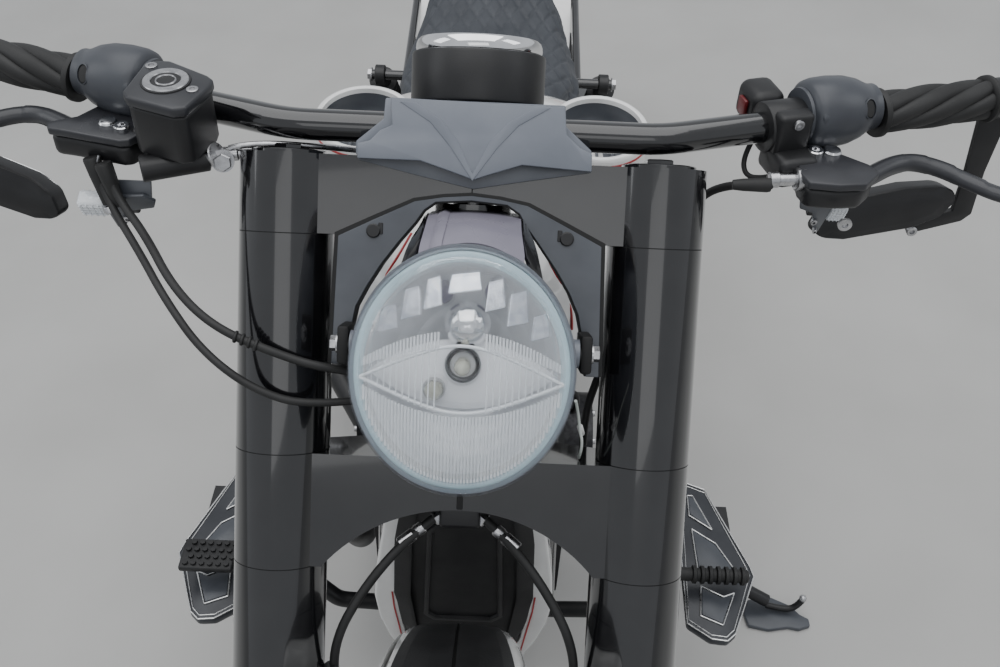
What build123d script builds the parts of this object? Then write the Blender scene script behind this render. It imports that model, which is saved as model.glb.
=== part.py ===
from build123d import *

import os
from math import acos, asin, atan2, cos, degrees, radians, sin, sqrt, tan

# Cruiser motorcycle, parked on its side stand. Millimetres and degrees.
# It is laid out upright: X to the rider's left, Y backwards from the front axle, Z up from the line
# where its middle plane meets the floor. Everything then leans to the rider's left.
# The steered pieces are laid out along the fork: X, then backwards from the fork, then up the fork
# from the front axle.

# Whole machine
lean_angle = 6.0
wheelbase = 1700.0
rake_angle = 34.0
fork_angle = 36.5
trail = 165.0
running_gap = 0.3
fit_gap = 0.1
seat_gap = 0.3

# Front wheel and tyre
front_tyre_radius = 350.7
front_tyre_width = 120.0
front_bead_radius = 266.7
front_rim_width = 84.0
front_hub_radius = 38.0
front_hub_width = 140.0
spoke_count = 5
front_disc_radius = 150.0
front_disc_offset = 78.0
disc_thickness = 5.0
axle_radius = 12.5

# Rear wheel and tyre
rear_tyre_radius = 324.6
rear_tyre_width = 240.0
rear_crown_radius = 130.0
rear_bead_radius = 228.6
rear_rim_width = 216.0
rear_hub_radius = 45.0
rear_hub_width = 250.0
rear_disc_radius = 146.0

# Final drive
belt_width = 22.0
belt_thickness = 6.0
pulley_width = 24.0
pulley_inner_x = 134.0
rear_pulley_radius = 140.0
front_pulley_radius = 46.0
front_pulley_y = 1045.0
front_pulley_height = 355.0

# Fork and clamps, along the fork from the front axle
fork_half_spacing = 149.0
fork_cover_radius = 38.5
fork_cover_bore = 27.0
fork_tube_radius = 21.5
top_clamp_bottom = 735.0
top_clamp_top = 797.0
lower_clamp_bottom = 464.0
lower_clamp_top = 558.0
lower_cover_end = 215.0
clamp_face_depth = 26.0
clamp_back_depth = 62.0
clamp_arch_top = 771.0
lower_arch_top = 516.0
stem_radius = 17.0
head_tube_radius = 32.0
cover_seam = 0.8
lug_top = 95.0
lug_drop = 32.0
lug_radius = 30.0

# Handlebar, riser cap and gauge
bar_radius = 12.7
bar_height = 821.0
bar_straight_half = 150.0
bar_half_width = 445.0
bar_sweep_angle = 17.0
bar_bend_radius = 120.0
grip_radius = 17.5
grip_start = 334.0
grip_end = 441.0
switch_start = 270.0
perch_start = 234.0
riser_top = 842.0
riser_half_width = 70.0
riser_shoulder = 826.0
riser_ear_half_width = 92.0
riser_ear_top = 808.0
riser_depth = 36.0
gauge_radius = 55.0
gauge_length = 40.5
gauge_ring_radius = 52.0
gauge_ring_height = 12.5
gauge_back = 30.0
gauge_base = 845.0

# Headlight
lens_half_width = 83.0
lens_half_height = 92.0
lens_forward = 100.0
lens_drop = 129.0
lens_centre_height = clamp_arch_top - lens_drop
lens_rim_depth = 12.0
lens_dome = 16.0
shell_wall = 4.0
shell_rear_forward = 14.0
bracket_half_width = 100.0
bracket_arm_width = 12.0
bracket_thickness = 8.0
lamp_pivot_forward = 54.0
lamp_pivot_height = lens_centre_height + 10

# Front fender
fender_outer_radius = 378.0
fender_half_width = 70.0
fender_wall = 3.0
fender_corner = 30.0
fender_skirt = 46.0
fender_front_angle = 62.0
fender_rear_angle = 168.0

# Frame and swingarm
backbone_radius = 26.0
cradle_tube_radius = 17.0
rail_tube_radius = 14.0
cradle_x = 108.0
cradle_height = 150.0
pivot_y = 1090.0
pivot_height = 355.0
pivot_plate_x = 121.0
pivot_plate_width = 18.0
swing_tube_radius = 24.0
arm_inner_x = 168.0
arm_width = 30.0
arm_height = 54.0
pan_top = 626.0
pan_thickness = 10.0

# Engine
crank_y = 800.0
case_middle_y = 795.0
case_width = 248.0
case_length = 410.0
case_height = 216.0
case_floor_gap = 24.0
case_middle_height = cradle_height + case_floor_gap + case_height / 2
crank_height = case_middle_height + 8
vee_half_angle = 30.0
barrel_top = 236.0
head_top = 330.0

# Radiator
radiator_front_y = 452.0
radiator_bottom = 335.0
radiator_top = 655.0
radiator_half_width = 92.0
radiator_depth = 36.0
cover_depth = 18.0

# Air scoops of the tank cover
scoop_centre = (121.0, 700.0, 890.0)
scoop_radius = 54.0
scoop_rim = 8.0
scoop_dish = 34.0
scoop_tilt = 8.0

# Rear fender and tail
rear_fender_gap = 37.4
rear_fender_radius = rear_tyre_radius + rear_fender_gap
rear_fender_half_width = 132.0
rear_fender_wall = 4.0
rear_fender_skirt = 44.0
rear_fender_start = 38.0
rear_fender_end = 156.0
pad_thickness = 34.0
seat_front = 1020.0
seat_back = wheelbase - 300
pan_front = 980.0

# Exhaust
pipe_radius = 22.0
muffler_radius = 44.0
muffler_x = -258.0
lower_muffler_start = (muffler_x, 1100.0, 222.0)
lower_muffler_end = (muffler_x, 1640.0, 276.0)
upper_muffler_start = (muffler_x, 1230.0, 346.0)
upper_muffler_end = (muffler_x, 1500.0, 371.0)

# Footboards
board_top = 348.0
board_thickness = 14.0
control_pivot = (258.0, 655.0, 300.0)

# Side stand
stand_pivot = (165.0, 745.0, 185.0)
stand_foot_reach = 510.0
stand_foot_y = 657.0
stand_leg_radius = 10.0
stand_fold_direction = (0.03, 0.995, 0.05)
stand_eye_radius = 16.0
stand_eye_height = 22.0
stand_pin_radius = 8.0
stand_ear_thickness = 8.0

front_crown_radius = front_tyre_width / 2
lean_cosine = cos(radians(lean_angle))
front_axle_height = front_tyre_radius - front_crown_radius + front_crown_radius / lean_cosine
rear_axle_height = rear_tyre_radius - rear_crown_radius + rear_crown_radius / lean_cosine
front_centre = (0, 0, front_axle_height)
rear_centre = (0, wheelbase, rear_axle_height)

parts = {}
along_fork = Pos(0, 0, front_axle_height) * Rot(-fork_angle, 0, 0)
from_base = (Align.CENTER, Align.CENTER, Align.MIN)


def steered(name, shape):
    """Keep a piece that was laid out along the fork."""
    parts[name] = along_fork * shape


def upright(name, shape):
    """Keep a piece that was laid out on the upright machine."""
    parts[name] = shape


def from_fork(x, back, up):
    """A point given along the fork, as a point of the upright machine."""
    turn = radians(fork_angle)
    y = up * sin(turn) + back * cos(turn)
    z = front_axle_height + up * cos(turn) - back * sin(turn)
    return (x, y, z)


def both_sides(shape):
    """A shape and its mirror image on the other side of the machine."""
    return shape + mirror(shape, about=Plane.YZ)


def bar_between(start, end, radius):
    """A round bar from one point to another."""
    direction = Vector(*end) - Vector(*start)
    place = Plane(origin=start, z_dir=direction)
    return place * Cylinder(radius, direction.length, align=from_base)


def swept_along(path, radius):
    """A round bar along a path."""
    start = Plane(origin=path @ 0, z_dir=path % 0)
    return sweep(start * Circle(radius), path=path)


def bent_tube(points, bends, radius):
    """A round tube of straight runs joined by arcs, one bend radius for each inner point."""
    return swept_along(FilletPolyline(*points, radius=bends), radius)


def cord(points, radius):
    """A cable or hose along a few points, each corner as round as its runs allow."""
    share = 0.45
    bends = []
    for before, corner, after in zip(points, points[1:], points[2:]):
        run_in = Vector(*corner) - Vector(*before)
        run_out = Vector(*after) - Vector(*corner)
        half_turn = radians(run_in.get_angle(run_out)) / 2
        bends.append(share * min(run_in.length, run_out.length) / tan(half_turn))
    return swept_along(FilletPolyline(*points, radius=bends), radius)


def disc_x(radius, width, centre):
    """A round disc or roller whose axis runs across the machine."""
    return Pos(*centre) * Rot(0, 90, 0) * Cylinder(radius, width)


def stem_back(up):
    """How far the steering axis lies behind the fork, at a height along the fork."""
    turn = radians(fork_angle)
    start_up = (-trail) * sin(turn) - front_axle_height * cos(turn)
    start_back = (-trail) * cos(turn) + front_axle_height * sin(turn)
    return start_back - (up - start_up) * tan(radians(fork_angle - rake_angle))


def on_stem(up):
    """A point of the steering axis, along the fork."""
    return (0, stem_back(up), up)


def stem_point(up):
    """A point of the steering axis on the upright machine, at a height along the fork."""
    return from_fork(*on_stem(up))


def cut_along_back(outline, front, back):
    """A block of an outline in X and height, from one depth to another."""
    face = Plane.XZ * outline
    return Pos(0, back, 0) * extrude(face, back - front, dir=(0, -1, 0))


def wedge(centre, radius, width, start, end):
    """A sector of a disc across the machine; angles run from the front over the top to the back."""
    steps = 8
    points = [(0.0, 0.0)]
    for i in range(steps + 1):
        angle = radians(start + (end - start) * i / steps)
        points.append((-radius * cos(angle), radius * sin(angle)))
    outline = Plane.YZ * Polygon(*points, align=None)
    return Pos(centre[0] - width / 2, centre[1], centre[2]) * extrude(outline, width, dir=(1, 0, 0))


# Fork and clamps
def clamp_body(bottom, top):
    """A clamp's web and two round ends, with the fork tubes' bores."""
    s = fork_half_spacing
    plan = Polygon(
        (-s, -clamp_face_depth),
        (s, -clamp_face_depth),
        (s, 22),
        (62, clamp_back_depth),
        (-62, clamp_back_depth),
        (-s, 22),
        align=None,
    )
    height = top - bottom
    body = Pos(0, 0, bottom) * extrude(plan, height)
    for side in (-1, 1):
        body += Pos(side * s, 0, bottom + height / 2) * Cylinder(fork_cover_radius, height)
    for side in (-1, 1):
        body -= Pos(side * s, 0, bottom + height / 2) * Cylinder(fork_tube_radius + fit_gap, height + 2)
    return body


stem_bore = bar_between(on_stem(lower_clamp_bottom), on_stem(top_clamp_top + 40), stem_radius + fit_gap)
arch_foot = 105.0
arch_shoulder = 44.0
arch_shoulder_top = 765.0
top_arch = Polygon(
    (-arch_foot, top_clamp_bottom - 1),
    (-arch_foot, top_clamp_bottom),
    (-arch_shoulder, arch_shoulder_top),
    (0, clamp_arch_top),
    (arch_shoulder, arch_shoulder_top),
    (arch_foot, top_clamp_bottom),
    (arch_foot, top_clamp_bottom - 1),
    align=None,
)
top_clamp = clamp_body(top_clamp_bottom, top_clamp_top)
top_clamp -= cut_along_back(top_arch, -clamp_face_depth - 1, clamp_back_depth + 1)
top_clamp -= stem_bore
steered("top_clamp", top_clamp)

lower_arch_foot = 112.0
arch_base_height = lower_clamp_bottom - 1
arch_line = ThreePointArc((-lower_arch_foot, arch_base_height), (0, lower_arch_top), (lower_arch_foot, arch_base_height))
arch_base = Line((lower_arch_foot, arch_base_height), (-lower_arch_foot, arch_base_height))
lower_arch = make_face(Curve() + [arch_line, arch_base])
lower_clamp = clamp_body(lower_clamp_bottom, lower_clamp_top)
lower_clamp -= cut_along_back(lower_arch, -clamp_face_depth - 1, clamp_back_depth + 1)
lower_clamp += bar_between(on_stem(lower_arch_top + 4), on_stem(top_clamp_top - 1), stem_radius)
steered("lower_clamp", lower_clamp)


def fork_sleeve(bottom, top):
    """The pair of cover tubes round the fork tubes between two heights."""
    height = top - bottom
    sleeve = Cylinder(fork_cover_radius, height) - Cylinder(fork_cover_bore, height + 2)
    return both_sides(Pos(fork_half_spacing, 0, bottom + height / 2) * sleeve)


fork_covers = fork_sleeve(lower_clamp_top + cover_seam, top_clamp_bottom - cover_seam)
fork_covers += fork_sleeve(lower_cover_end, lower_clamp_bottom - cover_seam)
steered("fork_covers", fork_covers)

tube_length = top_clamp_top + 3 - lug_top
cover_plug_height = 30.0
fork_leg = Pos(fork_half_spacing, 0, lug_top + tube_length / 2 - 1) * Cylinder(fork_tube_radius, tube_length + 2)
for plug_bottom in (lower_cover_end, lower_clamp_top + cover_seam):
    cover_plug = Cylinder(fork_cover_bore - fit_gap, cover_plug_height)
    fork_leg += Pos(fork_half_spacing, 0, plug_bottom + cover_plug_height / 2) * cover_plug
lug_height = lug_top + lug_drop
fork_leg += Pos(fork_half_spacing, 0, lug_top - lug_height / 2) * Cylinder(lug_radius, lug_height)
caliper_half_width = 27.0
caliper_x = front_disc_offset + 4
ear_inner_x = caliper_x + caliper_half_width + fit_gap
ear_outer_x = 125.0
caliper_ear = Box(ear_outer_x - ear_inner_x, 130, 50)
fork_leg += Pos((ear_inner_x + ear_outer_x) / 2, 75, 66) * caliper_ear
fork_leg -= disc_x(axle_radius + fit_gap, 120, (fork_half_spacing, 0, 0))
steered("fork_legs", both_sides(fork_leg))

axle_half_length = fork_half_spacing + lug_radius + 6
shoulder_start = front_hub_width / 2 + 0.5
shoulder_end = fork_half_spacing - lug_radius - 0.5
front_axle = disc_x(axle_radius, 2 * axle_half_length, (0, 0, 0))
axle_collar = disc_x(17, shoulder_end - shoulder_start, ((shoulder_start + shoulder_end) / 2, 0, 0))
axle_head = disc_x(18, 8, (axle_half_length - 2, 0, 0))
front_axle += both_sides(axle_collar + axle_head)
steered("front_axle", front_axle)

caliper = Pos(caliper_x, 128, 62) * Rot(24, 0, 0) * Box(2 * caliper_half_width, 58, 96)
caliper -= disc_x(front_disc_radius + 3, disc_thickness + 6, (front_disc_offset, 0, 0))
steered("front_calipers", both_sides(caliper))

# Handlebar and what it carries
sweep_tangent = tan(radians(bar_sweep_angle))
bar_y = from_fork(0, 0, bar_height)[1]
bar_z = from_fork(0, 0, bar_height)[2]


def along_bar(side, x, off_back=0.0, off_up=0.0):
    """A point of the bar's centre line at a distance out, on one side, and moved back or up from it."""
    past = max(abs(x) - bar_straight_half, 0)
    return (side * x, bar_y + past * sweep_tangent + off_back, bar_z + off_up)


bar_points = [
    along_bar(-1, bar_half_width),
    along_bar(-1, bar_straight_half),
    along_bar(1, bar_straight_half),
    along_bar(1, bar_half_width),
]
bar_bends = [bar_bend_radius, bar_bend_radius]
upright("handlebar", bent_tube(bar_points, bar_bends, bar_radius))
bar_bore = bent_tube(bar_points, bar_bends, bar_radius + fit_gap)

riser_bottom = top_clamp_top + fit_gap
riser_outline = Polygon(
    (-riser_half_width, riser_top),
    (riser_half_width, riser_top),
    (riser_half_width + 1, riser_shoulder),
    (riser_ear_half_width, riser_ear_top),
    (riser_ear_half_width, riser_bottom),
    (-riser_ear_half_width, riser_bottom),
    (-riser_ear_half_width, riser_ear_top),
    (-riser_half_width - 1, riser_shoulder),
    align=None,
)
riser_apron = Polygon(
    (-riser_ear_half_width, 800),
    (riser_ear_half_width, 800),
    (riser_ear_half_width, 796),
    (0, 779),
    (-riser_ear_half_width, 796),
    align=None,
)
riser = cut_along_back(riser_outline, -riser_depth, 24)
riser += cut_along_back(riser_apron, -riser_depth, -clamp_face_depth - fit_gap)
upright("riser_cap", (along_fork * riser) - bar_bore)


def round_bar_piece(side, inner, outer, radius):
    """A round piece on one end of the bar, between two distances out."""
    start = along_bar(side, inner)
    end = along_bar(side, outer)
    return bar_between(start, end, radius) - bar_between(start, end, bar_radius + fit_gap)


upright("grips", both_sides(round_bar_piece(1, grip_start, grip_end, grip_radius)))
switch_body = round_bar_piece(1, switch_start, grip_start - 1, 27)
upright("switch_housings", both_sides(switch_body))

# Each perch: clamp ring, arm plate in front of the bar, and on the rider's right the fluid reservoir
lever_pivot_x = 292.0
perch_ring = round_bar_piece(1, perch_start, switch_start - 1, 21)
perch_plate = Polygon((250, -16), (262, -62), (300, -92), (332, -66), (324, -38), (262, -8), align=None)
perch_arm = Pos(0, along_bar(1, lever_pivot_x)[1], bar_z - 32) * extrude(perch_plate, 20, dir=(0, 0, 1))
bar_clear = bar_between(along_bar(1, switch_start - 1), along_bar(1, bar_half_width), 30)
clutch_perch = perch_ring + perch_arm - bar_clear
adjuster = bar_between(along_bar(1, 266, -50, -22), along_bar(1, 240, -52, -22), 9)
clutch_perch += adjuster
switch_block = Pos(*along_bar(1, 241, 34, 2)) * Rot(0, 0, bar_sweep_angle) * Box(30, 34, 38)
clutch_perch += switch_block
clutch_perch -= bar_bore
upright("clutch_perch", clutch_perch)
brake_master = mirror(perch_ring + perch_arm - bar_clear, about=Plane.YZ)
reservoir = Pos(-238, bar_y - 14, bar_z + 14) * Rot(0, 0, -bar_sweep_angle) * Box(58, 60, 52)
brake_master += reservoir
banjo = bar_between((-214, bar_y - 19, bar_z - 16), from_fork(-196, -6, 799), 9)
brake_master += banjo
brake_master -= bar_bore
upright("brake_master", brake_master)

lever_points = [
    (316, bar_y - 8, bar_z - 22),
    (368, bar_y + 14, bar_z - 24),
    (420, bar_y - 4, bar_z - 27),
    (462, bar_y - 12, bar_z - 30),
]
lever_blade = cord(lever_points, 7) - perch_arm
upright("hand_levers", both_sides(lever_blade))

# Each mirror: side, middle of its head, and the two bends of its stalk
mirror_rows = [
    (1, (365, 556, 928), (454, 586, 940), (406, 568, 928)),
    (-1, (418, 548, 894), (468, 588, 926), (452, 562, 898)),
]
mirror_end_x = bar_half_width + 13
mirrors = Part()
for side, head, elbow, tip in mirror_rows:
    plug = bar_between(along_bar(side, bar_half_width + 0.3), along_bar(side, bar_half_width + 15), 14)
    top = along_bar(side, mirror_end_x, 0, -8)
    stalk = bent_tube([top, (side * elbow[0], elbow[1], elbow[2]), (side * tip[0], tip[1], tip[2])], [12], 6)
    pod = extrude(Ellipse(52, 29), 12, both=True)
    pod = fillet(pod.edges(), 9)
    pod = Pos(side * head[0], head[1], head[2]) * Rot(0, 0, side * bar_sweep_angle) * Rot(72, 0, 0) * pod
    mirrors += plug + stalk + pod
upright("mirrors", mirrors)

indicator_top = along_bar(1, 282, -34, -48)
indicator_low = along_bar(1, 290, -44, -72)
indicator_stem = bar_between(indicator_top, indicator_low, 6)
indicator_stem += Pos(*indicator_top) * Cylinder(8, 16 - fit_gap, align=from_base)
indicator_head = Pos(*along_bar(1, 304, -46, -72)) * Rot(0, 0, 8) * Box(46, 30, 20)
upright("bar_indicators", both_sides(indicator_stem + indicator_head))

gauge_turn = radians(rake_angle)
gauge_origin = from_fork(0, gauge_back, gauge_base)
gauge_place = Plane(origin=gauge_origin, z_dir=(0, sin(gauge_turn), cos(gauge_turn)))
gauge = gauge_place * Cylinder(gauge_radius, gauge_length, align=from_base)
gauge_ring = Cylinder(gauge_ring_radius, gauge_ring_height, align=from_base)
gauge_ring -= Pos(0, 0, 8) * Cylinder(gauge_ring_radius - 7, gauge_ring_height, align=from_base)
gauge += gauge_place * Pos(0, 0, gauge_length - 1) * gauge_ring
foot_height = gauge_base + 10 - riser_bottom
gauge_foot = Pos(0, 42, riser_bottom) * Cylinder(16, foot_height, align=from_base)
upright("gauge", gauge + along_fork * gauge_foot)


# Headlight
def lamp_section(back, half_width, half_height, centre):
    """An oval section of the lamp, square to the lamp's axis."""
    place = Plane(origin=(0, back, centre), x_dir=(1, 0, 0), z_dir=(0, 1, 0))
    return place * Ellipse(half_width, half_height)


# Each row: how far back, half width, half height, height of the middle along the fork
lamp_rows = [
    (-lens_forward, lens_half_width, lens_half_height, lens_centre_height),
    (-70, lens_half_width - 4, lens_half_height - 4, lens_centre_height + 2),
    (-shell_rear_forward, 46, 50, lens_centre_height + 12),
]
hollow_rows = [
    (-lens_forward - 0.01, lens_half_width - shell_wall, lens_half_height - shell_wall, lens_centre_height),
    (-70, lens_half_width - 4 - shell_wall, lens_half_height - 4 - shell_wall, lens_centre_height + 2),
    (-shell_rear_forward - shell_wall, 42, 46, lens_centre_height + 12),
]
outer_lamp = loft([lamp_section(*row) for row in lamp_rows])
hollow_lamp = loft([lamp_section(*row) for row in hollow_rows])
arm_inner = bracket_half_width - bracket_arm_width
pivot_boss = disc_x(11, 20, (arm_inner - 10 - fit_gap, -lamp_pivot_forward, lamp_pivot_height))
headlight_shell = outer_lamp + both_sides(pivot_boss) - hollow_lamp
steered("headlight_shell", headlight_shell)
# Each row: how far back, half width, half height, height of the middle along the fork
reflector_rows = [
    (-lens_forward, lens_half_width - shell_wall - 1, lens_half_height - shell_wall - 1, lens_centre_height),
    (-lens_forward + 46, 30, 34, lens_centre_height + 4),
]
reflector = loft([lamp_section(*row) for row in reflector_rows])
reflector_hollow = loft([lamp_section(back - 4, w - 1, h - 1, c) for back, w, h, c in reflector_rows])
steered("headlight_reflector", reflector - reflector_hollow)
lens_back = -lens_forward - fit_gap
lens_rim = extrude(lamp_section(lens_back, lens_half_width, lens_half_height, lens_centre_height), -lens_rim_depth)
dome_narrowing = 0.72
dome_half_width = lens_half_width * dome_narrowing
dome_half_height = lens_half_height * dome_narrowing
dome_base = lens_back - lens_rim_depth
lens_glass = loft(
    [
        lamp_section(dome_base, lens_half_width, lens_half_height, lens_centre_height),
        lamp_section(dome_base - lens_dome, dome_half_width, dome_half_height, lens_centre_height),
    ]
)
steered("headlight_lens", lens_rim + lens_glass)
bracket_foot = lens_centre_height - 8
bracket_drop = 2 * fit_gap
bracket_corner_top = 737.0
bracket_outline = Polygon(
    (-bracket_half_width, bracket_foot + 60),
    (-bracket_half_width, bracket_corner_top),
    (-arch_shoulder, arch_shoulder_top - bracket_drop),
    (0, clamp_arch_top - bracket_drop),
    (arch_shoulder, arch_shoulder_top - bracket_drop),
    (bracket_half_width, bracket_corner_top),
    (bracket_half_width, bracket_foot + 60),
    (arm_inner, bracket_foot + 60),
    (46, 748),
    (-46, 748),
    (-arm_inner, bracket_foot + 60),
    align=None,
)
bracket_back = -16.0
bracket_front = bracket_back - bracket_thickness
headlight_bracket = cut_along_back(bracket_outline, bracket_front, bracket_back)
arm_side = Polygon(
    (bracket_back, bracket_corner_top - 2),
    (bracket_front, bracket_corner_top - 2),
    (-66, bracket_foot + 42),
    (-68, bracket_foot),
    (-42, bracket_foot),
    (bracket_back, bracket_foot + 56),
    align=None,
)
arm_plate = Pos(arm_inner, 0, 0) * extrude(Plane.YZ * arm_side, bracket_arm_width, dir=(1, 0, 0))
headlight_bracket += both_sides(arm_plate)
steered("headlight_bracket", headlight_bracket)


# Front fender, round the front wheel
def fender_shell(outer_radius, half_width, corner, skirt, wall):
    """A fender's ring: a rounded channel turned round the axle, before it is cut to its length."""
    profile = RectangleRounded(2 * half_width, 2 * skirt, corner)
    inner = Pos(0, -wall) * RectangleRounded(2 * (half_width - wall), 2 * skirt, corner - wall)
    low_half = Pos(0, -skirt) * Rectangle(4 * half_width, 2 * skirt)
    channel = Pos(0, outer_radius - skirt) * (profile - inner - low_half)
    place = Plane(origin=front_centre, x_dir=(1, 0, 0), z_dir=(0, -1, 0))
    return revolve(place * channel, Axis(front_centre, (1, 0, 0)), 360)


front_fender = fender_shell(fender_outer_radius, fender_half_width, fender_corner, fender_skirt, fender_wall)
front_fender &= wedge(front_centre, 700, 400, fender_front_angle, fender_rear_angle)
stay_back = -8.0
stay_x = 98.0
stay_points = [
    from_fork(fender_half_width - 1.5, stay_back, 345),
    from_fork(stay_x, stay_back, 235),
    from_fork(stay_x, stay_back, 130),
    from_fork(fork_half_spacing - 24, stay_back, 70),
]
stay = bent_tube(stay_points, [40, 40], 5)
stay -= along_fork * Pos(fork_half_spacing, 0, 60) * Cylinder(lug_radius + fit_gap, 200)
upright("front_fender", front_fender + both_sides(stay))

# Hoses and cables of the steered side, each laid out along the fork
# Each row: sideways, back, up
hose_points = [
    from_fork(12, 4, 508),
    from_fork(40, -8, 489),
    from_fork(76, -18, 446),
    from_fork(101, -14, 396),
    from_fork(103, 14, 340),
    from_fork(100, 50, 280),
    from_fork(92, 84, 220),
    from_fork(88, 112, 168),
]
hose = cord(hose_points, 4)
hose_block = along_fork * Pos(0, 4, 507) * Box(34, 22, 24)
brake_hoses = both_sides(hose) + hose_block
brake_hoses -= parts["lower_clamp"]
brake_hoses -= both_sides(along_fork * Pos(caliper_x, 128, 62) * Rot(24, 0, 0) * Box(2 * caliper_half_width, 58, 96))
upright("brake_hoses", brake_hoses)
cable_top = bar_z - 32 - seat_gap
first_cable = [
    (-300, bar_y - 20, cable_top),
    (-292, bar_y - 28, bar_z - 60),
    from_fork(-262, -8, 728),
    from_fork(-232, -32, 688),
    from_fork(-196, -47, 660),
    from_fork(-152, -48, 643),
    from_fork(-108, -46, 630),
    from_fork(-72, -30, 626),
]
second_cable = [
    (-312, bar_y - 12, cable_top),
    (-304, bar_y - 22, bar_z - 66),
    from_fork(-266, -10, 714),
    from_fork(-237, -34, 678),
    from_fork(-204, -47, 640),
    from_fork(-164, -48, 612),
    from_fork(-120, -46, 600),
    from_fork(-74, -32, 606),
]
brake_line = [
    from_fork(-195.5, -6, 799),
    from_fork(-178, -8, 804.3),
    from_fork(-122, 6, 804.3),
    from_fork(-100, 34, 804),
]
clutch_line = [
    (239.3, bar_y - 24.5, bar_z - 22),
    from_fork(212, 14, 790),
    from_fork(190, 44, 778),
    from_fork(174, 58, 744),
    from_fork(158, 57, 712),
    from_fork(134, 51, 672),
    from_fork(114, 48, 620),
    from_fork(104, 48, 585),
    from_fork(104, 48, lower_clamp_top + seat_gap),
]
bar_cables = cord(first_cable, 3.5) + cord(second_cable, 3.2) + cord(brake_line, 2.5) + cord(clutch_line, 3.5)
upright("bar_cables", bar_cables - parts["brake_master"] - parts["clutch_perch"])


# Wheels
def tyre_ring(tyre_radius, width, crown, bead_radius, bead_half, centre):
    """A tyre: a crown arc, two sidewalls and a flat seat, turned round the axle."""
    shoulder = width / 2 - 0.01
    shoulder_drop = crown - sqrt(max(crown * crown - shoulder * shoulder, 0.0))
    edge = tyre_radius - shoulder_drop
    crown_arc = ThreePointArc((-shoulder, edge), (0, tyre_radius), (shoulder, edge))
    right_wall = Line((shoulder, edge), (bead_half, bead_radius))
    bead_seat = Line((bead_half, bead_radius), (-bead_half, bead_radius))
    left_wall = Line((-bead_half, bead_radius), (-shoulder, edge))
    place = Plane(origin=centre, x_dir=(1, 0, 0), z_dir=(0, -1, 0))
    section = make_face(Curve() + [crown_arc, right_wall, bead_seat, left_wall])
    return revolve(place * section, Axis(centre, (1, 0, 0)), 360)


def cast_wheel(bead_radius, rim_width, hub_radius, hub_width, centre, spoke_width):
    """A cast wheel: rim ring, hub and straight spokes, with the axle's bore."""
    wheel = disc_x(bead_radius - fit_gap, rim_width, (0, 0, 0))
    wheel -= disc_x(bead_radius - 22, rim_width + 2, (0, 0, 0))
    wheel += disc_x(hub_radius, hub_width, (0, 0, 0))
    reach = bead_radius - 12
    for i in range(spoke_count):
        spoke = Pos(0, 0, reach / 2) * Box(28, spoke_width, reach)
        wheel += Rot(360 * i / spoke_count, 0, 0) * spoke
    wheel -= disc_x(axle_radius + running_gap, hub_width + 2, (0, 0, 0))
    return Pos(*centre) * wheel


front_rim_half = front_rim_width / 2
front_tyre = tyre_ring(
    front_tyre_radius, front_tyre_width, front_crown_radius, front_bead_radius, front_rim_half, front_centre
)
upright("front_tyre", front_tyre)
front_wheel = cast_wheel(front_bead_radius, front_rim_width, front_hub_radius, front_hub_width, front_centre, 34)
upright("front_wheel", front_wheel)
disc_inner_radius = front_hub_radius - 6
disc_ring = disc_x(front_disc_radius, disc_thickness, (front_disc_offset, 0, 0))
disc_ring -= disc_x(disc_inner_radius, disc_thickness + 2, (front_disc_offset, 0, 0))
carrier_start = front_hub_width / 2 + fit_gap
carrier = disc_x(front_hub_radius, front_disc_offset - carrier_start, ((front_disc_offset + carrier_start) / 2, 0, 0))
disc_ring += carrier - disc_x(disc_inner_radius - 8, 60, (front_disc_offset, 0, 0))
upright("front_discs", Pos(*front_centre) * both_sides(disc_ring))

rear_rim_half = rear_rim_width / 2
rear_tyre = tyre_ring(
    rear_tyre_radius, rear_tyre_width, rear_crown_radius, rear_bead_radius, rear_rim_half, rear_centre
)
upright("rear_tyre", rear_tyre)
rear_wheel = cast_wheel(rear_bead_radius, rear_rim_width, rear_hub_radius, rear_hub_width, rear_centre, 46)
upright("rear_wheel", rear_wheel)
pulley_x = pulley_inner_x + pulley_width / 2
hub_face = rear_hub_width / 2 + fit_gap
carrier_bore = 24.0
rear_pulley = disc_x(rear_pulley_radius, pulley_width, (pulley_x, 0, 0))
rear_pulley += disc_x(44, pulley_x - hub_face, ((pulley_x + hub_face) / 2, 0, 0))
rear_pulley -= disc_x(carrier_bore, 80, (pulley_x, 0, 0))
upright("rear_pulley", Pos(*rear_centre) * rear_pulley)
rear_disc_x = -(rear_hub_width / 2 + 14)
rear_disc = disc_x(rear_disc_radius, disc_thickness, (rear_disc_x, 0, 0))
rear_disc += disc_x(44, -rear_disc_x - hub_face, ((rear_disc_x - hub_face) / 2, 0, 0))
rear_disc -= disc_x(carrier_bore, 60, (rear_disc_x, 0, 0))
upright("rear_disc", Pos(*rear_centre) * rear_disc)

# Main frame: head tube, backbone, twin cradles, pivot plates, seat rails and fender struts
head_tube = bar_between(stem_point(lower_clamp_top + 7), stem_point(clamp_arch_top - 7), head_tube_radius)
backbone = bent_tube([(0, 448, 858), (0, 600, 765), (0, 868, 646)], [200], backbone_radius)
cradle_points = [
    (22, 440, 800),
    (74, 512, 690),
    (92, 528, 420),
    (104, 566, 190),
    (cradle_x, 640, cradle_height),
    (cradle_x, 1010, cradle_height),
    (116, 1088, 300),
]
cradle_bends = [70, 200, 60, 60, 70]
cradle = bent_tube(cradle_points, cradle_bends, cradle_tube_radius)
rear_rail = bent_tube(
    [(130, 862, 640), (129, 980, 622), (126, 1100, 606), (122, wheelbase - 400, 602), (108, wheelbase - 270, 602)],
    [200, 200, 150],
    rail_tube_radius,
)
pivot_plate = Pos(pivot_plate_x, pivot_y, 380) * Box(pivot_plate_width, 70, 230)
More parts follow.
